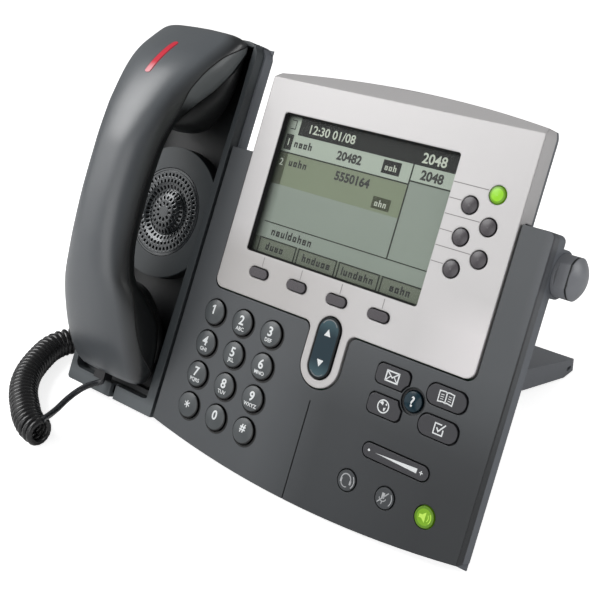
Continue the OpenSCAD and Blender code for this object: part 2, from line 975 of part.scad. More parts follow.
module main_board() {
    color([0.05, 0.35, 0.15])
        on_face()
            difference() {
                slab(board_back, board_front) {
                    translate([cradle_w + 17, 8])
                        square([bezel_r + 1 - cradle_w - 17, 130]);
                    translate([bezel_l + wall + 1, 130])
                        square([bezel_w - 2 * wall - 2, bezel_t - 134 - wall - 3]);
                }
                for (p = concat(SCREWS_DEEP, SCREWS_SHALLOW))
                    translate([p[0], p[1], board_back - 1])
                        cylinder(r = boss_r + 0.5, h = 4);
            }
}

module keypad_mat() {
    color([0.75, 0.75, 0.72])
        on_face()
            slab(board_front, mat_front)
                translate([dial_u0 - 8.5, dial_v0 - 3 * dial_pv - 8])
                    square([2 * dial_pu + 17, 3 * dial_pv + 16.5]);
}

// ---- Handset ----

function half_width(share) = share > 0.7
    ? handset_hw * share : grip_hw * share / 0.63;

function signed_power(x, p) = sign(x) * pow(abs(x), p);

// One ring of the handset: a squared oval, rounder above than below.
function handset_ring(s, i, v) =
    let (hw = half_width(s[1]) - i, middle = (s[2] + s[3]) / 2, deep = max((s[3] - s[2]) / 2 - i, 0.5))
    [for (k = [0:ring_points - 1])
        let (a = 360 * k / ring_points, p = sin(a) > 0 ? 2 / 2.35 : 2 / 3)
        [handset_u + hw * signed_power(cos(a), p), v, middle + deep * signed_power(sin(a), p)]];

module handset_loft(i) {
    last = len(HANDSET) - 1;
    rings = [for (k = [0:last]) handset_ring(HANDSET[k], i,
        HANDSET[k][0] + (k == 0 ? i : k == last ? -i : 0))];
    points = [for (r = rings, p = r) p];
    n = ring_points;
    sides = [for (k = [0:last - 1], j = [0:n - 1])
        let (a = k * n + j, b = k * n + (j + 1) % n)
        [a, b, b + n, a + n]];
    polyhedron(points, concat(sides, [[for (j = [n - 1:-1:0]) j]],
        [[for (j = [0:n - 1]) last * n + j]]), convexity = 6);
}

module seam_region() {
    translate([-20, 0, 0])
        rotate([90, 0, 90])
            linear_extrude(110)
                polygon(concat(SEAM, [[-10, -60], [230, -60]]));
}

module lamp_place() {
    translate([handset_u + 1, lamp_v, lamp_n])
        rotate([-lamp_slope, 0, 0])
            children();
}

module handset_back_shell() {
    color([0.33, 0.35, 0.38])
        on_face()
            difference() {
                handset_loft(0);
                handset_loft(handset_wall);
                seam_region();
                lamp_place()
                    slab(-8, 12)
                        pill(lamp_w + 0.3, lamp_l + 0.3);
            }
}

module handset_front_shell() {
    color([0.25, 0.26, 0.28])
        on_face()
            difference() {
                intersection() {
                    handset_loft(0);
                    seam_region();
                }
                handset_loft(handset_wall);
                for (a = [0:60:300])
                    translate([handset_u + 5 * cos(a), 186 + 5 * sin(a), -12])
                        cylinder(r = 1, h = 10);
                translate([handset_u, 186, -12])
                    cylinder(r = 1, h = 10);
                for (x = [-3, 0, 3])
                    translate([handset_u + x, 27, -12])
                        cylinder(r = 0.8, h = 10);
            }
}

module message_lamp() {
    color([0.8, 0.1, 0.1])
        on_face()
            intersection() {
                difference() {
                    handset_loft(0);
                    handset_loft(handset_wall + 1);
                }
                lamp_place()
                    slab(-7, 12)
                        pill(lamp_w, lamp_l);
            }
}

module handset_receiver() {
    color([0.15, 0.15, 0.16])
        on_face()
            translate([handset_u, 191, handset_wall - 1.9]) {
                cylinder(r = 8, h = 4);
                cylinder(r = 5, h = 7);
            }
}

module handset_microphone() {
    color([0.15, 0.15, 0.16])
        on_face()
            translate([handset_u, 28, -6 + handset_wall + 0.1])
                cylinder(r = 4.8, h = 5);
}

// ---- Cord ----

module handset_plug() {
    color([0.12, 0.12, 0.13])
        on_face()
            translate([plug_u - plug_w / 2, plug_low, plug_n - plug_h / 2])
                cube([plug_w, HANDSET[0][0] - plug_low, plug_h]);
}

function minus(a, b) = [for (i = [0:2]) a[i] - b[i]];
function unit(a) = a / norm(a);

// Tangent of a route at point k, and two directions square to it.
function tangent(path, k) = unit(minus(path[min(k + 1, len(path) - 1)], path[max(k - 1, 0)]));
function across(t) = unit(cross(t, abs(t[2]) > 0.97 ? [1, 0, 0] : [0, 0, 1]));

module tube(path, r, sides) {
    last = len(path) - 1;
    points = [for (k = [0:last])
        let (t = tangent(path, k), a = across(t), b = cross(t, a))
        for (j = [0:sides - 1])
            let (w = 360 * j / sides)
            path[k] + r * cos(w) * a + r * sin(w) * b];
    walls = [for (k = [0:last - 1], j = [0:sides - 1])
        let (m = k * sides + j, m2 = k * sides + (j + 1) % sides)
        [m, m + sides, m2 + sides, m2]];
    polyhedron(points, concat(walls, [[for (j = [0:sides - 1]) j]],
        [[for (j = [sides - 1:-1:0]) last * sides + j]]), convexity = 6);
}

module handset_lead() {
    color([0.1, 0.1, 0.1])
        on_desk()
            tube(HANDSET_LEAD, lead_r, 8);
}

module coiled_cord() {
    color([0.1, 0.1, 0.1])
        on_desk()
            tube(COIL, coil_r, 12);
}

module base_lead() {
    color([0.1, 0.1, 0.1])
        on_desk()
            tube(BASE_LEAD, lead_r, 8);
}

// ---- Feet ----

module base_feet() {
    color([0.1, 0.1, 0.1])
        on_desk()
            for (x = [34, body_w - 38])
                translate([x, 15, 0])
                    cube([20, 10, desk_clear]);
}

module footstand_feet() {
    color([0.1, 0.1, 0.1])
        on_desk()
            for (x = [stand_l + 8, stand_r - 28])
                translate([x, foot_reach - foot_sole + 1, 0])
                    cube([20, foot_sole - 2, foot_low]);
}

// ---- Footstand ----

arm_dir = [knee_y - hinge_y, knee_z - hinge_z] / norm([knee_y - hinge_y, knee_z - hinge_z]);
arm_side = [-arm_dir[1], arm_dir[0]];
arm_half = barrel_r;
foot_low = 1.5;
foot_sole = 11;

function arm_point(along, side) = [hinge_y, hinge_z] + arm_dir * along + arm_side * side;

// Extrudes a profile in the Y and Z directions between two places along X.
module across_x(x0, x1) {
    translate([x0, 0, 0])
        rotate([90, 0, 90])
            linear_extrude(x1 - x0)
                children();
}

module stand_side() {
    difference() {
        polygon([arm_point(0, arm_half), [knee_y, knee_z], [foot_reach, foot_h], [foot_reach, foot_low],
            [foot_reach - foot_sole, foot_low], [knee_y - 4, knee_z - 11.3], [knee_y - 12, knee_z - 7],
            arm_point(0, -arm_half)]);
        translate([foot_reach - 5.5, foot_low + 3.6])
            pill(5, 2.6);
    }
}

module stand_skin() {
    polygon([[knee_y, knee_z], [foot_reach, foot_h], [foot_reach, foot_low],
        [foot_reach - foot_sole, foot_low], [foot_reach - foot_sole, foot_low + skin],
        [foot_reach - skin, foot_low + skin], [foot_reach - skin, foot_h - skin],
        [knee_y, knee_z - skin], [knee_y - 1.5, knee_z - skin]]);
}

module footstand() {
    color([0.3, 0.31, 0.33])
        on_desk()
            difference() {
                union() {
                    for (x = [stand_l, stand_r - flange_w])
                        across_x(x, x + flange_w)
                            stand_side();
                    across_x(stand_l, stand_r)
                        stand_skin();
                    for (x = [stand_l, stand_r - barrel_w])
                        translate([x, hinge_y, hinge_z])
                            rotate([0, 90, 0])
                                cylinder(r = barrel_r, h = barrel_w);
                }
                translate([stand_l - 5, hinge_y, hinge_z])
                    rotate([0, 90, 0])
                        cylinder(r = axle_r + running, h = stand_r - stand_l + 10);
            }
}

module footstand_axle() {
    color("silver")
        on_face()
            hinge_tube(axle_l, axle_end, axle_r);
}

module footstand_knob() {
    color([0.28, 0.29, 0.31])
        on_face()
            translate([knob_base, hinge_v, hinge_n])
                rotate([0, 90, 0])
                    difference() {
                        union() {
                            translate([0, 0, -neck_l])
                                cylinder(r = knob_neck_r, h = neck_l + 1);
                            intersection() {
                                cylinder(r = knob_r, h = knob_l + knob_dome);
                                translate([0, 0, knob_l + knob_dome - knob_ball])
                                    sphere(knob_ball, $fn = 96);
                            }
                        }
                        translate([0, 0, -neck_l - 1])
                            cylinder(r = axle_r + running,
                                h = axle_end - knob_base + knob_travel + 1 + neck_l + 1);
                        // thumb flat on the front side
                        translate([-knob_r - 1, -6, body_w - knob_base + 1.4])
                            cube([2.6, 12, 6.4]);
                    }
}

// ---- Nodes ----

front_housing();
handset_cradle();
speaker_grille();
rear_housing();
display_bezel();
display_window();
lcd_panel();
main_board();
keypad_mat();
loudspeaker();
jack_blocks();
housing_screws();
base_feet();
hookswitch();
dial_key(0, 0);  // key_1
dial_key(1, 0);  // key_2
dial_key(2, 0);  // key_3
dial_key(0, 1);  // key_4
dial_key(1, 1);  // key_5
dial_key(2, 1);  // key_6
dial_key(0, 2);  // key_7
dial_key(1, 2);  // key_8
dial_key(2, 2);  // key_9
dial_key(0, 3);  // key_star
dial_key(1, 3);  // key_0
dial_key(2, 3);  // key_hash
line_key(0);  // line_key_1
line_key(1);  // line_key_2
line_key(2);  // line_key_3
line_key(3);  // line_key_4
line_key(4);  // line_key_5
line_key(5);  // line_key_6
soft_key(0);  // soft_key_1
soft_key(1);  // soft_key_2
soft_key(2);  // soft_key_3
soft_key(3);  // soft_key_4
scroll_key();
feature_key(-1, 1);  // messages_key
feature_key(-1, -1);  // services_key
help_key();
feature_key(1, 1);  // directories_key
feature_key(1, -1);  // settings_key
volume_key();
audio_key(0, [0.3, 0.31, 0.33]);  // headset_key
audio_key(1, [0.3, 0.31, 0.33]);  // mute_key
audio_key(2, [0.5, 0.9, 0.1]);  // speaker_key
handset_back_shell();
handset_front_shell();
message_lamp();
handset_receiver();
handset_microphone();
handset_plug();
handset_lead();
coiled_cord();
base_lead();
base_plug();
footstand();
footstand_feet();
footstand_knob();
footstand_axle();
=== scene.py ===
# %% [markdown]
# # A desk telephone, dressed
#
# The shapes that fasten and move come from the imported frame. This lesson dresses them: a smooth
# handset, a curly cord, a perforated grille, printed legends, a display, and moulded finishes.
# Every length below is written in millimetres and turned into metres by one factor, MM.

# %% Load the frame
import math

import bmesh
import bpy
from mathutils import Matrix, Vector


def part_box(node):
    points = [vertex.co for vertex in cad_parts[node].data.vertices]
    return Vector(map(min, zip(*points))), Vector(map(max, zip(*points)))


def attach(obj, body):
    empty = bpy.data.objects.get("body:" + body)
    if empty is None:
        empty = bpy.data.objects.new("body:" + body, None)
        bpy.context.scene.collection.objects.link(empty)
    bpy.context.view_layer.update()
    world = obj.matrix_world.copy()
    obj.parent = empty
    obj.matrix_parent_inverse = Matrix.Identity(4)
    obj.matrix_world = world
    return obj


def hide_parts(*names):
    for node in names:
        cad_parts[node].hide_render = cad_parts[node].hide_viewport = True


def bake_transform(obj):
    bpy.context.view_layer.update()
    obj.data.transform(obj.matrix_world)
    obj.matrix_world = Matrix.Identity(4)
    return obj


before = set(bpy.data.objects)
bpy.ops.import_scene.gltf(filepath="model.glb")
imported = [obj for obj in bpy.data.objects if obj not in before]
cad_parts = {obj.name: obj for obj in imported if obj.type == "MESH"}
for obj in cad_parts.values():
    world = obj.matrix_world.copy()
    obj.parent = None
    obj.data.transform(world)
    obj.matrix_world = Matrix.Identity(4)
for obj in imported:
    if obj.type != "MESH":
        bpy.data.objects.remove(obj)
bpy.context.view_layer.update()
MM = 0.001

# %% [markdown]
# ## Two rulers
#
# The telephone's face leans back, so most things on it are easiest to place by how far right (u),
# how far up (v) and how far out of it (n) they are. Each piece could be turned by hand, or hung
# from a tilted empty, but then its mesh wouldn't hold its own place. `on_face` turns such a place
# into the room's X, Y and Z instead, and `on_desk` does the same for places measured level from
# the face's lower edge.

# %% Face and desk coordinates
FACE_TILT = math.radians(64.5)
FRONT_LIFT = 9.0
MIDDLE = Vector((133.25, 94.332, 0.0))


def on_desk(x, y, z):
    return (Vector((x, y, z)) - MIDDLE) * MM


def on_face(u, v, n):
    y = v * math.cos(FACE_TILT) - n * math.sin(FACE_TILT)
    z = v * math.sin(FACE_TILT) + n * math.cos(FACE_TILT) + FRONT_LIFT
    return on_desk(u, y, z)


print("face zero point", on_face(0, 0, 0))

# %% Where things sit on the face
DIAL_U, DIAL_V, DIAL_PU, DIAL_PV = 90.0, 63.6, 19.2, 16.6
AUDIO_U, AUDIO_V, AUDIO_PU = 193.0, 13.8, 21.4
SPEAKER_KEY_U = AUDIO_U + 2 * AUDIO_PU
HELP_U, HELP_V = 214.2, 59.0
SCROLL_U, SCROLL_V = 161.2, 67.0
VOLUME_U, VOLUME_V = 214.2, 31.0
LINE_U, LINE_V, LINE_DU, LINE_DV = 214.1, 157.3, 11.8, 7.35
SOFT_U, SOFT_V, SOFT_DU = 110.7, 90.1, 24.7
LCD_L, LCD_B, LCD_W, LCD_H = 98.6, 99.5, 104.0, 72.0
HANDSET_U = 32.5
print("keys start at", DIAL_U, DIAL_V, "the display at", LCD_L, LCD_B)

# %% [markdown]
# ## Camera
#
# One camera looks down at the telephone from its right-hand front corner. A short lens close by
# would make the near corner loom. This one is long enough to keep the key panel's edges nearly
# parallel, and its shift slides the frame over the telephone without turning the camera.

# %% Camera
IMAGE_SIZE = 600
FOCAL_PX = 1107.7
CENTRE_ROW = 241.2
CAMERA_PLACE = on_desk(452.9, -334.2, 317.1)
LOOK_DOWN, LOOK_LEFT = math.radians(22.49), math.radians(40.27)
camera_data = bpy.data.cameras.new("camera")
camera_data.sensor_width = 36.0
camera_data.lens = FOCAL_PX * camera_data.sensor_width / IMAGE_SIZE
camera_data.shift_y = (CENTRE_ROW - IMAGE_SIZE / 2) / IMAGE_SIZE
camera = bpy.data.objects.new("camera", camera_data)
bpy.context.scene.collection.objects.link(camera)
camera.location = CAMERA_PLACE
camera.rotation_euler = (math.pi / 2 - LOOK_DOWN, 0, LOOK_LEFT)
bpy.context.scene.camera = camera
print("lens", round(camera_data.lens, 2), "at", camera.location)

# %% [markdown]
# ## Shader maths as plain sums
#
# A material is easier to read when its sums look like sums. Nodes could be added and linked one by
# one, but a single mask would then take a page. `Value` wraps one socket, so that
# `mask * 0.5 + 0.2` builds the Math nodes, and `Finish.node` makes any other node in one call.

# %% Shader helpers


def math_method(operation, flip=False):
    """A method that adds one Math node, with the values turned round where flip is set."""

    def method(self, *others):
        values = (*others, self) if flip else (self, *others)
        return self.finish.node("ShaderNodeMath", {"operation": operation}, *values)

    return method


class Value:
    """One socket in a finish's node tree."""

    def __init__(self, finish, socket):
        self.finish = finish
        self.socket = socket

    __add__ = math_method("ADD")
    __radd__ = math_method("ADD", flip=True)
    __sub__ = math_method("SUBTRACT")
    __rsub__ = math_method("SUBTRACT", flip=True)
    __mul__ = math_method("MULTIPLY")
    __rmul__ = math_method("MULTIPLY", flip=True)
    __truediv__ = math_method("DIVIDE")
    __pow__ = math_method("POWER")
    __gt__ = math_method("GREATER_THAN")
    __lt__ = math_method("LESS_THAN")
    __abs__ = math_method("ABSOLUTE")
    at_least = math_method("MAXIMUM")
    wrapped = math_method("WRAP")
    root = math_method("SQRT")


def feed(tree, target, value):
    """Links a socket to an input, or sets the input to a plain value."""
    value = getattr(value, "socket", value)
    if isinstance(value, bpy.types.NodeSocket):
        tree.links.new(value, target)
    else:
        target.default_value = value


class Finish:
    """One material, its node tree and its Principled shader."""

    def __init__(self, name, colour, roughness=0.5, **constants):
        self.material = bpy.data.materials.new(name)
        self.material.use_nodes = True
        self.tree = self.material.node_tree
        self.shader = self.tree.nodes["Principled BSDF"]
        self.set("Base Color", (*colour, 1.0))
        self.set("Roughness", roughness)
        for socket, value in constants.items():
            self.set(socket.replace("_", " "), value)

    def set(self, socket, value):
        feed(self.tree, self.shader.inputs[socket], value)

    def node(self, kind, settings, *values, out=0, **named):
        made = self.tree.nodes.new(kind)
        for key, value in settings.items():
            setattr(made, key, value)
        for key, value in [*enumerate(values), *named.items()]:
            target = made.inputs[key if isinstance(key, int) else key.replace("_", " ")]
            feed(self.tree, target, value)
        return Value(self, made.outputs[out])

    def place(self):
        return self.node("ShaderNodeTexCoord", {}, out=3)

    def noise(self, scale, detail=2.0, stretch=None):
        place = self.place()
        if stretch:
            place = self.node("ShaderNodeVectorMath", {"operation": "MULTIPLY"}, place, stretch)
        return self.node("ShaderNodeTexNoise", {}, Vector=place, Scale=scale, Detail=detail)

    def face_place(self):
        """The surface point as (u, v, n) in millimetres."""
        turned = self.node(
            "ShaderNodeMapping",
            {"vector_type": "TEXTURE"},
            Vector=self.place(),
            Location=on_face(0, 0, 0),
            Rotation=(FACE_TILT, 0, 0),
            Scale=(MM, MM, MM),
        )
        split = self.tree.nodes.new("ShaderNodeSeparateXYZ")
        feed(self.tree, split.inputs[0], turned)
        return [Value(self, socket) for socket in split.outputs]

    def blend_colour(self, mask, colour, socket="Base Color"):
        """Lays another colour over what feeds a colour socket, where mask is 1."""
        target = self.shader.inputs[socket]
        below = target.links[0].from_socket if target.is_linked else target.default_value
        mix = self.tree.nodes.new("ShaderNodeMix")
        mix.data_type = "RGBA"
        for slot, value in ((0, mask), (6, below), (7, (*colour, 1.0))):
            feed(self.tree, mix.inputs[slot], value)
        self.tree.links.new(mix.outputs[2], target)

    def bump(self, height, strength, distance, edge=0.0):
        named = {"Strength": strength, "Distance": distance, "Height": height}
        if edge:
            named["Normal"] = self.node("ShaderNodeBevel", {"samples": 4}, Radius=edge)
        self.set("Normal", self.node("ShaderNodeBump", {}, **named))


def srgb(red, green, blue):
    """A colour written as it looks on a screen, 0 to 255, as linear light."""
    linear = []
    for value in (red, green, blue):
        value /= 255
        linear.append(value / 12.92 if value <= 0.04045 else ((value + 0.055) / 1.055) ** 2.4)
    return tuple(linear)


def inside(value, low, high):
    return (value > low) * (value < high)


def fade(value, start, end):
    """0 at start, 1 at end, straight between them and held on either side."""
    share = (value - start) * (1 / (end - start))
    return share.finish.node("ShaderNodeClamp", {}, share)


def apart(u, v):
    """How far the point (u, v) lies from (0, 0)."""
    return (u**2.0 + v**2.0).root()


def repeated(value, first, step):
    """Folds a row of places, one step apart, onto one place at zero."""
    return (value - first).wrapped(step / 2, -step / 2)


def pill_distance(along, across, half):
    """How far a point lies from a line that reaches half either way from zero."""
    return apart((abs(along) - half).at_least(0.0), across)


print("shader helpers ready")

# %% [markdown]
# ## Moulded plastic
#
# The shells are injection moulded with a fine spark-eroded grain. An image of the grain would have
# to be unwrapped onto every part. Noise that is read from each point's own place needs no such
# work. Up close it is a bump of about a tenth of a millimetre; from further away it only breaks up
# the shine. A slow change in colour and a rounder look along the edges finish it.

# %% Finishes of the shells and keys


def moulded(name, colour, roughness=0.45, grain=0.12, edge=0.4, **constants):
    finish = Finish(name, colour, roughness, **constants)
    cloud = finish.noise(14.0, 3.0)
    finish.blend_colour((cloud - 0.35) * 0.5, tuple(min(1.0, c * 1.35 + 0.004) for c in colour))
    speckle = finish.noise(2600.0, 1.0)
    finish.set("Roughness", (speckle - 0.5) * 0.16 + (cloud - 0.5) * 0.10 + roughness)
    finish.bump(speckle, grain, 0.12 * MM, edge * MM)
    return finish


SATIN_COAT = {"Coat_Weight": 0.8, "Coat_Roughness": 0.36}
GLOSS_COAT = {"Metallic": 0.35, "Coat_Weight": 0.9, "Coat_Roughness": 0.16}
HOUSING = moulded("housing plastic", srgb(76, 79, 82), 0.40, edge=0.7)
CRADLE = moulded("cradle plastic", srgb(62, 67, 70), 0.46, edge=0.6)
BACK = moulded("back plastic", srgb(106, 110, 116), 0.5, 0.2, edge=0.6)
HANDSET_TOP = moulded("handset plastic", srgb(76, 80, 84), 0.38, 0.10, edge=0.0, **SATIN_COAT)
# painted shade: the lower shell is painted far darker than the upper, for the shade under the handset
HANDSET_UNDER = moulded("handset underside plastic", srgb(18, 20, 21), 0.36, 0.08, edge=0.0)
EAR_PAD = moulded("ear pad plastic", srgb(12, 14, 15), 0.5, 0.08, edge=0.0)
DIAL_KEY = moulded("dial key plastic", srgb(76, 80, 82), 0.34, 0.06, edge=0.45)
FEATURE_KEY = moulded("feature key plastic", srgb(54, 54, 58), 0.36, 0.06, edge=0.5)
AUDIO_KEY = moulded("audio key plastic", srgb(58, 61, 64), 0.4, 0.06, edge=0.3)
LINE_KEY = moulded("line key plastic", srgb(74, 70, 74), 0.3, 0.05, edge=0.5)
STAND = moulded("footstand plastic", srgb(110, 113, 118), 0.48, 0.2, edge=0.5)
KNOB = moulded("knob plastic", srgb(134, 136, 141), 0.34, 0.2, edge=0.8)
BLACK_PLASTIC = moulded("black plastic", srgb(28, 28, 31), 0.35, 0.08, edge=0.2)
RUBBER = moulded("foot rubber", srgb(30, 30, 31), 0.8, 0.3, edge=0.3)
MAT = moulded("silicone mat", srgb(190, 190, 184), 0.6, 0.1, edge=0.2)
BOARD = moulded("board green", srgb(20, 78, 48), 0.45, 0.1, edge=0.1)
GRILLE_FINISH = moulded("grille plastic", srgb(56, 60, 63), 0.22, 0.04, edge=0.0, **GLOSS_COAT)
print("materials so far", len(bpy.data.materials))

# %% [markdown]
# ## Dark rims of painted shade
#
# The dark line round every key is painted shade: the skirt of each cap and the lip of its hole
# would be in shadow, and round the dial and volume keys the line is widest on the lower right, where
# the shade falls. A dark ring under each key would show it too, but would be one more piece to fit.
# A mask in the finish needs none, and the same one works for all twelve dial keys, because folding
# the face's own coordinates by the keys' spacing puts every key on top of the first.

# %% Painted shade round the keys
PAINTED_SHADE_BLACK = srgb(16, 17, 18)
DIAL_CAP_R, DIAL_RIM_R = 6.3, 7.5
AUDIO_RIM_R, HELP_RIM_R = 5.6, 6.5
VOLUME_HALF, VOLUME_RIM_R = 14.4, 4.25
SURFACE = 0.2


def dial_distance(u, v):
    return apart(repeated(u, DIAL_U, DIAL_PU), repeated(v, DIAL_V, DIAL_PV))


u, v, n = DIAL_KEY.face_place()
# painted shade: the cap's skirt is dark, and so is its edge on the lower right
lit_side = dial_distance(u + 0.35, v - 0.25) < DIAL_CAP_R - 0.05
cap = lit_side * (dial_distance(u, v) < DIAL_CAP_R) * (n > 0.3)
DIAL_KEY.blend_colour(1 - cap, PAINTED_SHADE_BLACK)

u, v, n = HOUSING.face_place()
key_field = inside(u, 80, 138) * inside(v, 5, 71.8) * (n < SURFACE)
# painted shade round each dial key's hole, shifted to the lower right
HOUSING.blend_colour((dial_distance(u - 0.55, v + 0.4) < DIAL_RIM_R) * key_field, PAINTED_SHADE_BLACK)
# painted shade in the gaps round the audio, volume and help keys
audio_away = apart(repeated(u, AUDIO_U, AUDIO_PU), v - AUDIO_V)
HOUSING.blend_colour((audio_away < AUDIO_RIM_R) * inside(u, 186, 243), srgb(40, 43, 45))
volume_away = pill_distance(u - (VOLUME_U + 0.4), v - (VOLUME_V - 0.2), VOLUME_HALF)
HOUSING.blend_colour((volume_away < VOLUME_RIM_R) * (n < SURFACE), PAINTED_SHADE_BLACK)
help_away = apart(u - HELP_U, v - HELP_V)
HOUSING.blend_colour((help_away < HELP_RIM_R) * (n < SURFACE), srgb(18, 26, 28))
# painted shade: a dark band just below the face's surface, along its edges
HOUSING.blend_colour(inside(n, -1.5, -0.12), PAINTED_SHADE_BLACK)
# painted shade on the line and soft keys below their tops
LINE_KEY.blend_colour(LINE_KEY.face_place()[2] < 0.9, PAINTED_SHADE_BLACK)
print("rims painted")

# %% Painted shade and light on the shells
# painted shade: the housing is darker right of the keypad and towards its lower right; painted highlight:
# the strip right of the display is lighter
HOUSING.blend_colour(fade(u, 138, 172) * fade(v, 82, 42) * 0.8, srgb(44, 47, 50))
HOUSING.blend_colour(fade(u, 190, 235) * fade(v, 62, 26) * 0.6, srgb(30, 33, 36))
HOUSING.blend_colour(fade(u, 252, 257) * fade(v, 84, 124) * 0.6, srgb(98, 100, 105))

# painted shade: the knob's neck next to the housing is darkened, and so is a narrow band before its end
# face, as a shaded groove
u, v, n = KNOB.face_place()
knob_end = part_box("footstand_knob")[1][0] / MM + MIDDLE.x
KNOB.blend_colour((u < knob_end - 11.5) * 0.85, srgb(30, 33, 35))
KNOB.blend_colour(inside(u, knob_end - 5.0, knob_end - 4.1), srgb(24, 26, 28))

# painted shade: the cradle is darkened in its wells, where the handset shades them; painted highlight: its
# front lip is lighter
u, v, n = CRADLE.face_place()
CRADLE.blend_colour(inside(u, 3, 66) * (n < -5.2), srgb(26, 28, 30))
CRADLE.blend_colour(fade(v, 9, 4) * 0.8, srgb(98, 103, 106))

# painted highlight: the handset's back is lighter where it turns over at the ear end
u, v, n = HANDSET_TOP.face_place()
HANDSET_TOP.blend_colour(fade(v, 150, 180) * 0.6, srgb(94, 99, 103))

# painted highlight: the handset's lower shell is lighter on the flat cheek beside the ear pad, which faces
# the light
u, v, n = HANDSET_UNDER.face_place()
HANDSET_UNDER.blend_colour(fade(v, 158, 166) * (n + v * 0.42 > 84), srgb(94, 98, 99))
print("shells shaded")

# %% [markdown]
# ## Finishes with a character of their own
#
# The display's frame is silver paint over plastic: tiny metal flakes under a satin lacquer. A
# fully metallic finish would mirror the lamps and lose the even, pearly look, so a fast noise lifts
# the metalness only a little, more here and less there. The lit keys glow a little, and their
# rims are darker than their caps.

# %% Silver, teal, lit and printed finishes
BEZEL = moulded("pearl silver", srgb(199, 197, 197), 0.46, 0.05, edge=1.1)
BEZEL.set("Metallic", BEZEL.noise(3800.0, 0.0) * 0.30 + 0.05)
u, v, n = BEZEL.face_place()
# painted shade and highlight: below the display the silver is darker on the left and lighter on the right
low = fade(v, 112, 96)
BEZEL.blend_colour(low * fade(u, 190, 130) * 0.7, srgb(174, 171, 169))
BEZEL.blend_colour(low * fade(u, 205, 240) * 0.8, srgb(226, 222, 223))


def speckled(name, colour, scale=900.0, spread=0.2, least=0.4, **constants):
    """A plain finish whose shine varies with a noise."""
    finish = Finish(name, colour, **constants)
    finish.set("Roughness", finish.noise(scale) * spread + least)
    return finish


TEAL = speckled("teal gloss", srgb(26, 48, 58), 120.0, 0.08, 0.1, Specular_IOR_Level=0.25)
TEAL.bump(TEAL.noise(900.0), 0.05, 0.1 * MM, 0.6 * MM)
u, v, n = TEAL.face_place()
across = abs(u - SCROLL_U)
# painted highlight: the scroll key is lighter towards both ends; painted shade: a dark rim runs round it
TEAL.blend_colour(fade(abs(v - SCROLL_V), 6.25, 12.5) * (across < 6), srgb(60, 86, 94))
scroll_shade_rim = (pill_distance(v - SCROLL_V, u - SCROLL_U, 8.4) > 5.6) * (across < 9)
TEAL.blend_colour(scroll_shade_rim, srgb(10, 15, 18))


def lit(name, colour, strength):
    finish = Finish(name, colour)
    cloud = finish.noise(260.0)
    finish.set("Emission Color", (*colour, 1.0))
    finish.set("Emission Strength", strength)
    finish.set("Roughness", cloud * 0.2 + 0.25)
    finish.bump(cloud, 0.08, 0.2 * MM, 0.5 * MM)
    return finish


LIT_KEY = lit("lit green", srgb(136, 200, 24), 0.30)
LIT_SPEAKER = lit("lit dark green", srgb(112, 160, 12), 0.24)
lit_places = [(LIT_KEY, LINE_U + LINE_DU, LINE_V, 2.9), (LIT_SPEAKER, SPEAKER_KEY_U, AUDIO_V, 3.7)]
for finish, lit_u, lit_v, edge in lit_places:
    u, v, n = finish.face_place()
    ring = apart(u - lit_u, v - lit_v) > edge
    for socket in ("Base Color", "Emission Color"):
        finish.blend_colour(ring * 0.6, srgb(62, 96, 8), socket)
LAMP = lit("red lamp", srgb(200, 44, 62), 0.18)
u, v, n = LAMP.face_place()
# painted highlight: a pale patch at the lens's end towards the grip; painted shade: its long edges are
# darker
LAMP.blend_colour(fade(v, 178.5, 174.5) * 0.8, srgb(236, 176, 182))
LAMP.blend_colour(abs(u - (HANDSET_U + 1)) > 1.75, srgb(120, 24, 40))

STEEL = Finish("turned steel", (0.55, 0.55, 0.57), Metallic=1.0)
STEEL.set("Roughness", STEEL.noise(700.0, 2.0, (1.0, 14.0, 14.0)) * 0.25 + 0.2)
PRINT = speckled("white print", srgb(226, 229, 230))
LINE_PRINT = speckled("grey line", srgb(134, 131, 131))
GREY_PRINT = speckled("grey print", srgb(176, 178, 180))
LIT_PRINT = speckled("green print", srgb(196, 240, 90))
INK = speckled("screen ink", srgb(14, 18, 13))
PALE_INK = speckled("screen pale ink", srgb(200, 208, 192))
DARK = speckled("inside black", srgb(12, 12, 13), 400.0, 0.2, 0.55)
WINDOW = speckled("clear window", (0.2, 0.22, 0.21), 60.0, 0.05, 0.06, Alpha=0.05)
CORD_FINISH = speckled("cord jacket", srgb(20, 20, 22), 500.0, 0.14, 0.2, Coat_Weight=0.3)
LEAD_FINISH = speckled("lead jacket", srgb(44, 46, 50), 500.0, 0.14, 0.2, Coat_Weight=0.4)
for finish in (CORD_FINISH, LEAD_FINISH):
    finish.bump(finish.noise(1500.0), 0.06, 0.1 * MM)
print("materials", len(bpy.data.materials))

# %% [markdown]
# ## Display glass
#
# The screen is a grey-green liquid crystal panel. Its bands and boxes are flat colours that depend
# only on where a point lies on the face. They could be thin sheets laid one on the other, but
# sheets that close can flicker through each other, so they are painted with masks in face
# coordinates.

# %% Liquid crystal panel
FAR = 9.0


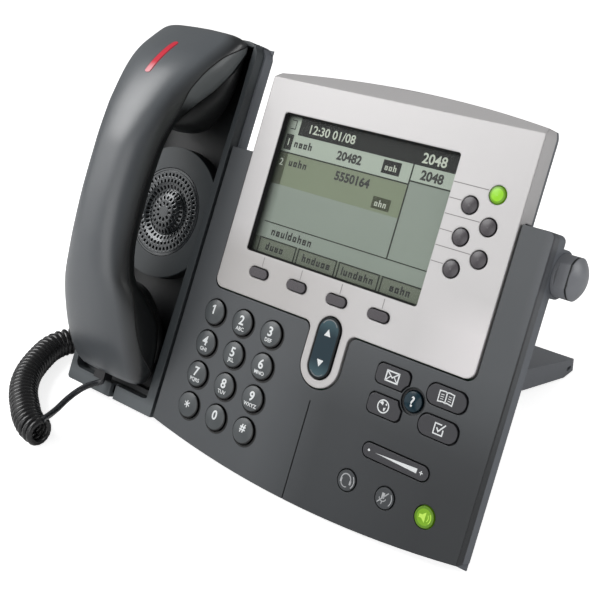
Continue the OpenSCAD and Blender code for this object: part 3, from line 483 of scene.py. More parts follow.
def panel_finish():
    finish = Finish("liquid crystal", srgb(146, 157, 146), Specular_IOR_Level=0.2)
    u, v, n = finish.face_place()
    u = (u - LCD_L) * (1 / LCD_W)
    v = (v - LCD_B) * (1 / LCD_H)
    dark = srgb(15, 16, 14)
    pale = srgb(178, 190, 176)
    ink = srgb(30, 36, 28)
    glow = finish.noise(30.0, 1.0)
    finish.blend_colour((glow - 0.4) * 0.5, srgb(128, 141, 130))
    # left, right, bottom and top as shares of the panel, where FAR is past its edge
    bands = [
        (0.0, 0.76, 0.735, 0.865, pale),
        (0.76, 1.0, 0.76, 0.865, pale),
        (0.0, 0.76, 0.50, 0.725, srgb(132, 143, 118)),
        (0.0, 0.055, 0.50, 0.725, srgb(78, 84, 62)),
        (0.015, 0.06, 0.75, 0.86, dark),
        (0.08, 1.0, 0.865, FAR, dark),
        (0.0, 0.08, 0.865, FAR, pale),
        (0.0, 0.76, 0.725, 0.735, ink),
        (0.76, 1.0, 0.75, 0.76, ink),
        (0.757, 0.765, 0.23, 0.865, ink),
        (0.03, 1.0, 0.225, 0.233, ink),
        (0.60, 0.70, 0.76, 0.85, dark),
        (0.60, 0.70, 0.52, 0.60, srgb(62, 68, 46)),
        (-FAR, FAR, -FAR, 0.115, srgb(112, 120, 104)),
    ]
    for left, right, bottom, top, colour in bands:
        finish.blend_colour(inside(u, left, right) * inside(v, bottom, top), colour)
    # painted shadow: the panel darkens along its left and top edges, where the opening's walls would shade
    # it
    finish.blend_colour(fade(u, 1 / 14, 0) * 0.75, srgb(52, 58, 50))
    finish.blend_colour(fade(v, 0.955, 0.9883) * 0.85, srgb(12, 13, 12))
    for k in range(4):
        left = 0.03 + 0.245 * k
        box = inside(u, left, left + 0.235) * inside(v, 0.0, 0.118)
        rim = box * (1 - inside(u, left + 0.008, left + 0.227) * (v < 0.108))
        finish.blend_colour(rim, ink)
    finish.set("Roughness", glow * 0.1 + 0.45)
    return finish


LCD = panel_finish()
print("panel nodes", len(LCD.tree.nodes))

# %% [markdown]
# ## Which finish goes where
#
# Each node of the frame keeps its shape and takes one of the finishes above. They could be given
# out part by part as each is worked on. One table shows them all at a glance, and a loop clears the
# material that each mesh came with before it gives out the new one.

# %% Dress the frame's nodes
DIAL_NAMES = ["1", "2", "3", "4", "5", "6", "7", "8", "9", "star", "0", "hash"]
FINISHES = {
    HOUSING: ["front_housing"],
    CRADLE: ["handset_cradle"],
    GRILLE_FINISH: ["speaker_grille"],
    BACK: ["rear_housing"],
    BEZEL: ["display_bezel"],
    WINDOW: ["display_window"],
    LCD: ["lcd_panel"],
    BOARD: ["main_board"],
    MAT: ["keypad_mat"],
    BLACK_PLASTIC: ["loudspeaker", "jack_blocks", "handset_receiver", "handset_microphone"]
    + ["handset_plug", "base_plug", "hookswitch"],
    STEEL: ["housing_screws", "footstand_axle"],
    RUBBER: ["base_feet", "footstand_feet"],
    DIAL_KEY: ["key_" + name for name in DIAL_NAMES],
    LINE_KEY: [f"line_key_{k}" for k in range(2, 7)] + [f"soft_key_{k}" for k in range(1, 5)],
    LIT_KEY: ["line_key_1"],
    LIT_SPEAKER: ["speaker_key"],
    TEAL: ["scroll_key", "help_key"],
    FEATURE_KEY: [f"{name}_key" for name in ("messages", "services", "directories", "settings", "volume")],
    AUDIO_KEY: ["headset_key", "mute_key"],
    STAND: ["footstand"],
    KNOB: ["footstand_knob"],
    HANDSET_TOP: ["handset_back_shell"],
    HANDSET_UNDER: ["handset_front_shell"],
    LAMP: ["message_lamp"],
    CORD_FINISH: ["handset_lead", "coiled_cord", "base_lead"],
}
for finish, nodes in FINISHES.items():
    for node in nodes:
        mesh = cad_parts[node].data
        mesh.materials.clear()
        mesh.materials.append(finish.material)
print("dressed", sum(len(nodes) for nodes in FINISHES.values()))

# %% [markdown]
# ## Making pieces
#
# Blender's own add-a-shape commands leave a new piece's place on its object. Here a piece's mesh
# holds its place and its object sits at the origin, so a pattern that reads the object's own
# coordinates stays put. `piece` makes one from points and faces, and says which body it rides on.

# %% Piece helpers


def shaded(mesh, sharp_degrees):
    mesh.shade_smooth()
    mesh.set_sharp_from_angle(angle=math.radians(sharp_degrees))


def piece(name, points, faces, finish, body=None, sharp_degrees=None):
    mesh = bpy.data.meshes.new(name)
    mesh.from_pydata([tuple(p) for p in points], [], faces)
    mesh.materials.append(finish.material)
    made = bpy.data.objects.new(name, mesh)
    bpy.context.scene.collection.objects.link(made)
    mesh.update()
    if sharp_degrees:
        shaded(mesh, sharp_degrees)
    if body:
        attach(made, body)
    return made


def settle(made):
    """Applies the object's modifiers to its mesh."""
    graph = bpy.context.evaluated_depsgraph_get()
    mesh = bpy.data.meshes.new_from_object(made.evaluated_get(graph))
    made.modifiers.clear()
    made.data = mesh
    made.data.name = made.name


def reshape(made, change):
    """Lets change edit the object's mesh."""
    work = bmesh.new()
    work.from_mesh(made.data)
    change(work)
    work.to_mesh(made.data)
    work.free()


def close_up(work):
    """Merges doubled points and turns every face outwards."""
    bmesh.ops.remove_doubles(work, verts=work.verts, dist=0.0005 * MM)
    bmesh.ops.recalc_face_normals(work, faces=work.faces)


def tube_faces(rings, sides):
    """The faces of a closed tube made of rings of points."""
    faces = []
    for k in range(rings - 1):
        for j in range(sides):
            a, b = k * sides + j, k * sides + (j + 1) % sides
            faces.append((a, b, b + sides, a + sides))
    faces.append(tuple(range(sides - 1, -1, -1)))
    faces.append(tuple((rings - 1) * sides + j for j in range(sides)))
    return faces


print("piece helpers ready")

# %% [markdown]
# ## Cord
#
# The handset's cord is one wire: a straight lead out of the handset's plug, then a tight helix that
# lies in a curve on the desk, and a short lead back into the side of the telephone. A curve with a
# round bevel could draw it, but a tube made ring by ring doesn't twist, and its route tells its
# length exactly. On the real telephone the straight lead bends with the handset when it is lifted;
# here it is a piece of its own, fastened to no body.

# %% Cord route
WIRE_R = 1.7
COIL_R = 8.0
PITCH = 3.75
TURN_POINTS = 18
LEAD_PLACES = [(27, -3.5, 15), (24.6, -8.7, 14.3), (23.7, -15, 13), (24.4, -22.1, 11.8)]
LEAD_PLACES += [(26.5, -29.4, 11), (29.2, -36.2, 11.6), (31.5, -40.6, 12.8), (33.6, -44.3, 13.9)]
LEAD_POINTS = [on_face(29, 7.5, 4), on_face(29, 5.5, 4), *(on_desk(*p) for p in LEAD_PLACES)]
COIL_PLACES = [(35, -47.3), (27, -46.3), (17, -42.3), (7, -36.3), (-3, -29.8), (-12, -22.3)]
COIL_PLACES += [(-19, -14.8), (-25, -6.3), (-30, 2.7), (-34, 11.7), (-35, 20.7), (-32, 29.7), (-26, 36.7)]
COIL_POINTS = [on_desk(x, y, COIL_R + 0.2) for x, y in COIL_PLACES]
BASE_PLACES = [(-19.5, 34.5, 14), (-16.5, 34, 18), (-13, 33.3, 21.5), (-9, 33, 23.8), (-5, 33, 24)]
BASE_POINTS = [on_desk(*p) for p in BASE_PLACES]


def smooth_route(points, steps):
    """A Catmull-Rom curve through the points."""
    padded = [points[0] * 2 - points[1], *points, points[-1] * 2 - points[-2]]
    line = []
    for a, b, c, d in zip(padded, padded[1:], padded[2:], padded[3:]):
        for step in range(steps):
            t = step / steps
            even = 2 * b + (2 * a - 5 * b + 4 * c - d) * t * t
            odd = (c - a) * t + (3 * b - a - 3 * c + d) * t * t * t
            line.append(0.5 * (even + odd))
    return [*line, points[-1]]


def route_length(line):
    return sum((b - a).length for a, b in zip(line, line[1:]))


def evenly(line, count):
    """count + 1 points spaced evenly along a line."""
    total = route_length(line)
    out, travelled, k = [line[0]], 0.0, 0
    for step in range(1, count):
        target = total * step / count
        while travelled + (line[k + 1] - line[k]).length < target:
            travelled += (line[k + 1] - line[k]).length
            k += 1
        part = (target - travelled) / (line[k + 1] - line[k]).length
        out.append(line[k].lerp(line[k + 1], part))
    return [*out, line[-1]]


def helix(core, radius, pitch, start):
    """The wire's centre line round a core that lies level."""
    turns = round(route_length(core) / pitch)
    spine = evenly(core, turns * TURN_POINTS)
    up = Vector((0, 0, 1))
    line = []
    for k, point in enumerate(spine):
        ahead = spine[min(k + 1, len(spine) - 1)] - spine[max(k - 1, 0)]
        side = ahead.cross(up).normalized()
        angle = start + math.tau * k / TURN_POINTS
        line.append(point + radius * (math.cos(angle) * side + math.sin(angle) * up))
    return line


lead_line = evenly(smooth_route(LEAD_POINTS, 8), 48)
coil_core = smooth_route(COIL_POINTS, 12)
coil_line = helix(coil_core, (COIL_R - WIRE_R) * MM, PITCH * MM, math.radians(80))
base_line = smooth_route([coil_line[-1], *BASE_POINTS], 6)
lead_line[-1] = coil_line[0]
wire_line = coil_line + base_line[1:]
print("lead", route_length(lead_line), "coil", route_length(coil_line), "base", route_length(base_line))

# %% Cord pieces


def tube(name, line, radius, sides, finish, body=None):
    """A closed tube whose rings follow a line without twisting."""
    points = []
    side = (line[1] - line[0]).orthogonal().normalized()
    for k, point in enumerate(line):
        ahead = (line[min(k + 1, len(line) - 1)] - line[max(k - 1, 0)]).normalized()
        side = (side - ahead * side.dot(ahead)).normalized()
        other = ahead.cross(side)
        for j in range(sides):
            angle = math.tau * j / sides
            points.append(point + radius * (math.cos(angle) * side + math.sin(angle) * other))
    return piece(name, points, tube_faces(len(line), sides), finish, body, sharp_degrees=60)


lead = tube("handset_lead_wire", lead_line, WIRE_R * MM, 14, LEAD_FINISH)
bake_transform(lead)
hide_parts("handset_lead")
curly = tube("curly_cord", wire_line, WIRE_R * MM, 10, CORD_FINISH, "base")
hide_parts("coiled_cord", "base_lead")
print("cord pieces", len(lead.data.vertices), len(curly.data.vertices))

# %% [markdown]
# ## Handset
#
# A handset is a long moulded shell whose section changes all the way: narrow and high at the grip,
# wide and low at the two ends. A box smoothed by subdivision would come near, but its seam
# couldn't run where the real one does. So it is lofted from a few stations, read through a smooth
# curve, and split along its seam into an upper and a lower shell.

# %% Handset stations
# up the handset, half width, lowest, highest
STATIONS = [
    (12.5, 21.7, -1, 8.5),
    (15, 25.1, -4.5, 12),
    (22, 27.6, -6, 18.5),
    (33, 28.5, -6, 27),
    (46, 27.9, -2.5, 34.5),
    (58, 25.1, 8, 40),
    (70, 20.5, 20, 44),
    (88, 18.4, 23.5, 47.5),
    (110, 18, 24, 49),
    (132, 18.4, 23.5, 48.5),
    (150, 20.5, 21.5, 45.5),
    (162, 23.4, 13.5, 42),
    (175, 27.5, 2.5, 36.5),
    (186, 30, -4, 29),
    (194.5, 30.3, -6, 20.5),
    (198.5, 29.8, -4.5, 15.9),
    (200.8, 28.4, -2, 13.2),
    (202.4, 25.6, 0.2, 11),
    (203.5, 20.5, 1.2, 9),
    (204.1, 10, 2.2, 6.9),
]
# up the handset, how high the seam runs there
SEAM = [(10, -10), (16, -8), (22, 2), (32, 14), (50, 24), (72, 30.5), (84, 33), (112, 34.5)]
SEAM += [(140, 32.5), (157, 29.3), (166, 29), (176.5, 25.5), (188, 17.5), (196, 8), (201, 0), (206, -6)]


def read_curve(table, column, at):
    """A smooth curve through a table's points, without overshoot."""
    xs = [row[0] for row in table]
    ys = [row[column] for row in table]
    at = min(max(at, xs[0]), xs[-1])
    k = max(i for i in range(len(xs) - 1) if xs[i] <= at)
    rates = [(ys[i + 1] - ys[i]) / (xs[i + 1] - xs[i]) for i in range(len(xs) - 1)]

    def slope(i):
        if i == 0 or i == len(rates):
            return rates[min(i, len(rates) - 1)]
        before, after = rates[i - 1], rates[i]
        return 2 * before * after / (before + after) if before * after > 0 else 0.0

    width = xs[k + 1] - xs[k]
    t = (at - xs[k]) / width
    return (
        (2 * t**3 - 3 * t**2 + 1) * ys[k]
        + (t**3 - 2 * t**2 + t) * width * slope(k)
        + (-2 * t**3 + 3 * t**2) * ys[k + 1]
        + (t**3 - t**2) * width * slope(k + 1)
    )


def read_station(table, v):
    return [read_curve(table, column, v) for column in (1, 2, 3)]


def squared(value, power):
    """A sine or cosine raised to a power with its sign kept, which squares a circle's corners."""
    return math.copysign(abs(value) ** power, value)


UPPER_POWER, LOWER_POWER = 2 / 2.35, 2 / 3


def section_point(v, angle, grow=0.0):
    """A point on the handset's squared-oval section, by its angle."""
    half, low, high = read_station(STATIONS, v)
    power = UPPER_POWER if math.sin(angle) > 0 else LOWER_POWER
    lean = 1.6 * min(1.0, max(0.0, (v - 186) / 16)) ** 2
    u = HANDSET_U + lean + (half + grow) * squared(math.cos(angle), power)
    n = (low + high) / 2 + ((high - low) / 2 + grow) * squared(math.sin(angle), power)
    return Vector((u, v, n))


def seam_angle(v):
    """The angle, on the right side, at which the seam crosses a section."""
    half, low, high = read_station(STATIONS, v)
    height = (read_curve(SEAM, 1, v) - (low + high) / 2) / ((high - low) / 2)
    if height <= -1:
        return -math.pi / 2
    power = UPPER_POWER if height > 0 else LOWER_POWER
    return math.asin(squared(max(-1.0, min(height, 1.0)), 1 / power))


print("grip section at the middle", read_station(STATIONS, 110))

# %% Handset shells
SHELL_ROWS, SHELL_COLUMNS = 150, 56


def eased(t, amount):
    """Moves evenly spaced shares towards both ends."""
    return t - amount * math.sin(math.tau * t) / math.tau


def shell_rows(upper):
    """Rows of points along one shell, from the mouth end to the ear end."""
    first, last = STATIONS[0][0], STATIONS[-1][0]
    grid = []
    for k in range(SHELL_ROWS + 1):
        v = first + (last - first) * eased(k / SHELL_ROWS, 0.75)
        start = seam_angle(v)
        low, high = (start, math.pi - start) if upper else (math.pi - start, math.tau + start)
        angles = [low + (high - low) * j / SHELL_COLUMNS for j in range(SHELL_COLUMNS + 1)]
        grid.append([section_point(v, angle) for angle in angles])
    return grid


def without_slivers(work):
    bmesh.ops.remove_doubles(work, verts=work.verts, dist=0.0005 * MM)
    bmesh.ops.dissolve_degenerate(work, dist=0.001 * MM, edges=work.edges)


def shell(name, upper, finish, node):
    grid = shell_rows(upper)
    columns = len(grid[0])
    points = [on_face(*p) for row in grid for p in row]
    faces = []
    for k in range(len(grid) - 1):
        for j in range(columns - 1):
            a = k * columns + j
            faces.append((a, a + columns, a + columns + 1, a + 1))
    if upper:
        for row, turn in ((0, -1), (len(grid) - 1, 1)):
            ring = [row * columns + j for j in range(columns)]
            faces.append(tuple(ring[::turn]))
    made = piece(name, points, faces, finish)
    reshape(made, without_slivers)
    wall = made.modifiers.new("wall", "SOLIDIFY")
    wall.thickness = 2.0 * MM
    wall.offset = -1.0
    rounding = made.modifiers.new("rounding", "BEVEL")
    rounding.width = 0.45 * MM
    rounding.segments = 2
    rounding.limit_method = "ANGLE"
    rounding.angle_limit = math.radians(50)
    settle(made)
    shaded(made.data, 50)
    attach(made, "handset")
    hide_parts(node)
    return made


upper_shell = shell("handset_upper", True, HANDSET_TOP, "handset_back_shell")
lower_shell = shell("handset_lower", False, HANDSET_UNDER, "handset_front_shell")
print("shells", len(upper_shell.data.polygons), len(lower_shell.data.polygons))

# %% Seam between the shells


def seam_line():
    """Up the seam's right side and back down its left, just inside the surface."""
    right, left = [], []
    first, last, steps = 21, 202.6, 180
    for k in range(steps + 1):
        v = first + (last - first) * k / steps
        angle = seam_angle(v)
        right.append(on_face(*section_point(v, angle, -0.05)))
        left.append(on_face(*section_point(v, math.pi - angle, -0.05)))
    line = []
    for point in right + left[::-1]:
        if not line or (point - line[-1]).length > 0.3 * MM:
            line.append(point)
    return line


seam = tube("handset_seam", seam_line(), 0.36 * MM, 8, DARK, "handset")
print("seam", len(seam.data.vertices))

# %% [markdown]
# ## Ear and mouth pads
#
# Under each end of the handset sits a black pad, one for the ear and one for the mouth. A squashed
# ball would be quicker, but it can't be flat below and full towards the grip. Each is a loft like
# the shells: one squared oval after another, along the handset.

# %% Ear and mouth pads
# up the handset, half width, lowest, highest
# the ear pad reaches over the dark area under the ear end, so part of its black stands in for the shade
# there
EAR_STATIONS = [
    (147.6, 6, 4, 22),
    (148.4, 12, 0.5, 24),
    (150.5, 17.5, -2.5, 24.5),
    (154, 21.8, -4.5, 24),
    (160, 25, -5.5, 22),
    (166, 26.8, -6, 18),
    (172, 27.8, -6, 14),
    (180, 28.4, -6, 11.5),
    (188, 28, -6, 8.5),
    (195, 26.5, -6, 4),
]
MOUTH_STATIONS = [
    (26, 26.5, -6, 3),
    (36, 27, -6, 6),
    (44, 25.6, -5.5, 12),
    (50, 23.4, -4.5, 20),
    (55, 20.8, -3, 24),
    (59, 17.4, -1, 25),
    (62, 13.5, 1, 25),
    (63.6, 10, 3, 24),
    (64.4, 5, 6, 22),
]
PAD_POWER = 0.7


def handset_pad(name, stations, rows=64, sides=64):
    points = []
    for k in range(rows + 1):
        v = stations[0][0] + (stations[-1][0] - stations[0][0]) * eased(k / rows, 0.6)
        half, low, high = read_station(stations, v)
        for j in range(sides):
            angle = math.tau * j / sides
            u = HANDSET_U + half * squared(math.cos(angle), PAD_POWER)
            n = (low + high) / 2 + (high - low) / 2 * squared(math.sin(angle), PAD_POWER)
            points.append(on_face(u, v, n))
    made = piece(name, points, tube_faces(rows + 1, sides), EAR_PAD, None, sharp_degrees=50)
    reshape(made, close_up)
    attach(made, "handset")
    return made


for name, stations in (("ear_pad", EAR_STATIONS), ("mouth_pad", MOUTH_STATIONS)):
    pad = handset_pad(name, stations)
    print(name, len(pad.data.polygons))

# %% Shade along the handset's sides
WIDEST, LONGEST = 40, 210
u, v, n = HANDSET_TOP.face_place()
widths = HANDSET_TOP.tree.nodes.new("ShaderNodeFloatCurve")
curve = widths.mapping.curves[0]
curve.points[0].location = (0.0, STATIONS[0][1] / WIDEST)
curve.points[1].location = (1.0, STATIONS[-1][1] / WIDEST)
for station, half, low, high in STATIONS[2:17]:
    curve.points.new(station / LONGEST, half / WIDEST)
widths.mapping.update()
feed(HANDSET_TOP.tree, widths.inputs["Value"], v * (1 / LONGEST))
out = (u - HANDSET_U) / (Value(HANDSET_TOP, widths.outputs[0]) * WIDEST)
side = fade(out, 0.74, 0.9574) * fade(n, 44, 35.67)
HANDSET_TOP.blend_colour(side * 0.86, srgb(14, 16, 17))
print("sides shaded")

# %% [markdown]
# ## Message lamp
#
# A slim red lens is let into the handset's ear end. A straight pill pushed into the shell would
# stand out in the middle or sink at its ends, because the shell curves both ways. The lens follows
# the shell's own curve, a hair above it, so its outline is a pill drawn on that surface.

# %% Message lamp
LAMP_U, LAMP_V = HANDSET_U + 1, 182.0
LAMP_HALF_L, LAMP_HALF_W = 10.2, 2.3
LAMP_TOP, LAMP_BOTTOM = 0.35, -1.6
LAMP_ROWS, LAMP_COLUMNS = 40, 12


def lamp_point(k, j, height):
    """A point of the lens: row k up the handset, column j across, height off the shell."""
    along = LAMP_HALF_L * (-1 + 2 * k / LAMP_ROWS)
    v = LAMP_V + along
    cap = (LAMP_HALF_L - abs(along)) / LAMP_HALF_W
    across = math.sqrt(max(0.0, 1 - max(0.0, 1 - cap) ** 2)) * (-1 + 2 * j / LAMP_COLUMNS)
    u = LAMP_U + LAMP_HALF_W * across
    half, low, high = read_station(STATIONS, v)
    share = min(abs(u - HANDSET_U) / half, 1.0)
    n = (low + high) / 2 + (high - low) / 2 * (1 - share**2.35) ** (1 / 2.35)
    if height > 0:
        height *= 1 - across**4
    return on_face(u, v, n + height)


def lamp_lens():
    wide = LAMP_COLUMNS + 1
    under = (LAMP_ROWS + 1) * wide
    points = []
    for height in (LAMP_TOP, LAMP_BOTTOM):
        points += [lamp_point(k, j, height) for k in range(LAMP_ROWS + 1) for j in range(wide)]
    faces = []
    for k in range(LAMP_ROWS):
        left = k * wide
        right = left + LAMP_COLUMNS
        for a in range(left, right):
            faces.append((a, a + 1, a + wide + 1, a + wide))
            faces.append((under + a, under + a + wide, under + a + wide + 1, under + a + 1))
        for a, b in ((left, left + wide), (right + wide, right)):
            faces.append((a, b, under + b, under + a))
    made = piece("message_lens", points, faces, LAMP)
    reshape(made, close_up)
    shaded(made.data, 40)
    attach(made, "handset")
    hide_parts("message_lamp")
    return made


lens = lamp_lens()
print("lens", len(lens.data.polygons))

# %% [markdown]
# ## Speaker grille
#
# The loudspeaker sits behind a dished disc with rings of radial slots and a raised middle. Cutting
# nearly two hundred holes one by one would be slow and leave slivers. One flat cell with a slot in
# it is repeated round each ring by Geometry Nodes instead, in a space where X is the angle and Y
# the radius. The last step rolls that strip up into a disc and presses the dish into it.

# %% The grille's cell
GRILLE_U, GRILLE_V, GRILLE_N = 32.5, 104.0, -4.0
GRILLE_R = 24.1
RING_PITCH = 3.23
RING_HOLES = [10, 18, 28, 36, 42, 48]
FIRST_RING = 4.4
DISH_HEIGHT = 4.0
# how far out, and how high the dish stands there
DISH = [(0, 1.3), (4.4, 1.15), (7.6, 0.85), (9.8, 0.35), (11.5, -0.45), (12.3, -0.9), (12.5, -1.85)]
DISH += [(14.0, -1.15), (15.6, -0.45), (17.4, 0)]
CELL_SIDES, CELL_STEPS = 24, 3
CELL_REACH = 0.502


def grille_cell():
    """A unit cell: a square with a slot in the middle and the slot's wall below it."""
    work = bmesh.new()
    loops = [[] for _ in range(CELL_STEPS + 2)]
    for k in range(CELL_SIDES):
        angle = math.tau * (k + 0.5) / CELL_SIDES
        across, out = math.cos(angle), math.sin(angle)
        reach = CELL_REACH / max(abs(across), abs(out))
        corner = Vector((reach * across, reach * out, 0))
        slot = Vector((0.23 * squared(across, 0.7), 0.30 * squared(out, 0.7), 0))
        for step in range(CELL_STEPS + 1):
            x, y, _ = corner.lerp(slot, step / CELL_STEPS)
            loops[step].append(work.verts.new((x, y, -0.08 if step == CELL_STEPS else 0)))
        loops[-1].append(work.verts.new((slot.x, slot.y, -1.0)))
    for outer, inner in zip(loops, loops[1:]):
        for k in range(CELL_SIDES):
            j = (k + 1) % CELL_SIDES
            work.faces.new((outer[k], outer[j], inner[j], inner[k]))
    mesh = bpy.data.meshes.new("grille_cell")
    work.to_mesh(mesh)
    work.free()
    return bpy.data.objects.new("grille_cell", mesh)


cell = grille_cell()
print("cell faces", len(cell.data.polygons))

# %% The grille's node tree
ring_grille = bpy.data.node_groups.new("ring_grille", "GeometryNodeTree")
face = ring_grille.interface
face.new_socket("Geometry", in_out="INPUT", socket_type="NodeSocketGeometry")
grille_sockets = {}
for name, value in {
    "First ring radius": FIRST_RING * MM,
    "Ring pitch": RING_PITCH * MM,
    "Dish height": DISH_HEIGHT * MM,
    "Grille radius": GRILLE_R * MM,
}.items():
    socket = face.new_socket(name, in_out="INPUT", socket_type="NodeSocketFloat")
    socket.default_value = value
    grille_sockets[name] = socket.identifier
face.new_socket("Geometry", in_out="OUTPUT", socket_type="NodeSocketGeometry")


def add(kind, **inputs):
    """A node of the grille's tree, with its inputs linked or set by name."""
    node = ring_grille.nodes.new(kind)
    for name, value in inputs.items():
        feed(ring_grille, node.inputs[name.replace("_", " ")], value)
    return node


def maths(operation, *values):
    node = add("ShaderNodeMath")
    node.operation = operation
    for target, value in zip(node.inputs, values):
        feed(ring_grille, target, value)
    return node.outputs[0]


def grille_rings(entry):
    """The cells of every ring, laid out flat."""
    pitch = entry.outputs["Ring pitch"]
    source = add("GeometryNodeObjectInfo", Object=cell).outputs["Geometry"]
    join = add("GeometryNodeJoinGeometry")
    for ring, holes in enumerate(RING_HOLES):
        step = math.tau / holes
        radius = maths("MULTIPLY_ADD", pitch, float(ring), entry.outputs["First ring radius"])
        start = add("ShaderNodeCombineXYZ", X=step / 2 * (ring % 2), Y=radius).outputs[0]
        row = add("GeometryNodeMeshLine", Count=holes, Offset=(step, 0, 0), Start_Location=start)
        size = add("ShaderNodeCombineXYZ", X=step, Y=pitch, Z=MM).outputs[0]
        copies = add("GeometryNodeInstanceOnPoints", Points=row.outputs[0], Instance=source, Scale=size)
        feed(ring_grille, join.inputs[0], copies.outputs[0])
    return add("GeometryNodeRealizeInstances", Geometry=join.outputs[0]).outputs[0]


def dish_curve(share):
    """The dish's height at a share of the grille's radius, as a share of its full height."""
    curve = add("ShaderNodeFloatCurve", Value=share)
    dish = curve.mapping.curves[0]
    dish.points[0].location = (0.0, DISH[0][1] / DISH_HEIGHT + 0.5)
    dish.points[1].location = (1.0, 0.5)
    for at, height in DISH[1:]:
        point = dish.points.new(at / GRILLE_R, height / DISH_HEIGHT + 0.5)
        point.handle_type = "VECTOR" if 12 < at < 13 else "AUTO_CLAMPED"
    curve.mapping.update()
    return maths("SUBTRACT", curve.outputs[0], 0.5)


entry = add("NodeGroupInput")
flat = grille_rings(entry)
place = add("GeometryNodeInputPosition").outputs[0]
angle, radius, height = add("ShaderNodeSeparateXYZ", Vector=place).outputs
share = maths("DIVIDE", radius, entry.outputs["Grille radius"])
sunk = maths("MULTIPLY", dish_curve(share), entry.outputs["Dish height"])
rolled = add(
    "ShaderNodeCombineXYZ",
    X=maths("MULTIPLY", radius, maths("COSINE", angle)),
    Y=maths("MULTIPLY", radius, maths("SINE", angle)),
    Z=maths("ADD", height, sunk),
)
roll = add("GeometryNodeSetPosition", Geometry=flat, Position=rolled.outputs[0])
paint = add("GeometryNodeSetMaterial", Geometry=roll.outputs[0], Material=GRILLE_FINISH.material)
feed(ring_grille, add("NodeGroupOutput").inputs[0], paint.outputs[0])
print("grille nodes", len(ring_grille.nodes))

# %% The grille itself
TURN_STEPS = 144
INNER_R = FIRST_RING - RING_PITCH / 2
OUTER_R = FIRST_RING + RING_PITCH * (len(RING_HOLES) - 0.5)
# the outer collar with its fine groove, and the plain middle, as radius and height
COLLAR = [(OUTER_R, 0), (22.6, 0), (22.75, -0.4), (23.15, -0.4), (23.3, 0)]
COLLAR += [(GRILLE_R, 0), (GRILLE_R + 0.1, -0.15), (GRILLE_R + 0.1, -1.7)]
GRILLE_MIDDLE = [(0.1, 1.3), (1.2, 1.29), (2.2, 1.26), (INNER_R, 1.22)]


def circle(work, radius, height):
    angles = [math.tau * k / TURN_STEPS for k in range(TURN_STEPS)]
    places = [(radius * math.cos(a) * MM, radius * math.sin(a) * MM, height * MM) for a in angles]
    return [work.verts.new(place) for place in places]


def add_turned_parts(work):
    """Joins the cells, then adds the collar and the middle."""
    bmesh.ops.remove_doubles(work, verts=work.verts, dist=0.02 * MM)
    upside_down = [f for f in work.faces if f.normal.z < -0.5]
    bmesh.ops.reverse_faces(work, faces=upside_down)
    for profile in (COLLAR, GRILLE_MIDDLE):
        circles = [circle(work, r, z) for r, z in profile]
        for near, far in zip(circles, circles[1:]):
            for k in range(TURN_STEPS):
                j = (k + 1) % TURN_STEPS
                work.faces.new((near[k], far[k], far[j], near[j]))
    work.faces.new(circles[0])
    for face in work.faces:
        face.material_index = 0


disc = piece("grille_disc", [], [], GRILLE_FINISH)
rings = disc.modifiers.new("rings", "NODES")
rings.node_group = ring_grille
rings[grille_sockets["Dish height"]] = DISH_HEIGHT * MM
settle(disc)
reshape(disc, add_turned_parts)
disc.data.materials.clear()
disc.data.materials.append(GRILLE_FINISH.material)
disc.data.transform(Matrix.Rotation(FACE_TILT, 4, "X"))
disc.data.transform(Matrix.Translation(on_face(GRILLE_U, GRILLE_V, GRILLE_N)))
shaded(disc.data, 40)
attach(disc, "base")
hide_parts("speaker_grille")
bpy.data.objects.remove(cell)
print("grille faces", len(disc.data.polygons))

# %% [markdown]
# ## Flat marks
#
# Legends, icons, engraved lines and the screen's signs are all thin flat shapes that lie on a
# surface. An image could carry them, but it would need unwrapping and would blur up close. `Marks`
# collects strokes, fills and letters round one place on the face and makes one piece of them,
# lifted a few hundredths of a millimetre off what carries them.

# %% Drawing flat marks
LIFT = 0.05


def level(n):
    return lambda u, v: n + LIFT


def dome(top, radius):
    """The height of a domed key cap, measured from its middle."""
    return lambda u, v: top - radius + math.sqrt(radius**2 - u**2 - v**2) + LIFT


def rectangle(left, bottom, right, top):
    return [(left, bottom), (right, bottom), (right, top), (left, top)]


def arc_points(u, v, radius, start, stop, steps=20):
    angles = [math.radians(start + (stop - start) * k / steps) for k in range(steps + 1)]
    return [(u + radius * math.cos(a), v + radius * math.sin(a)) for a in angles]


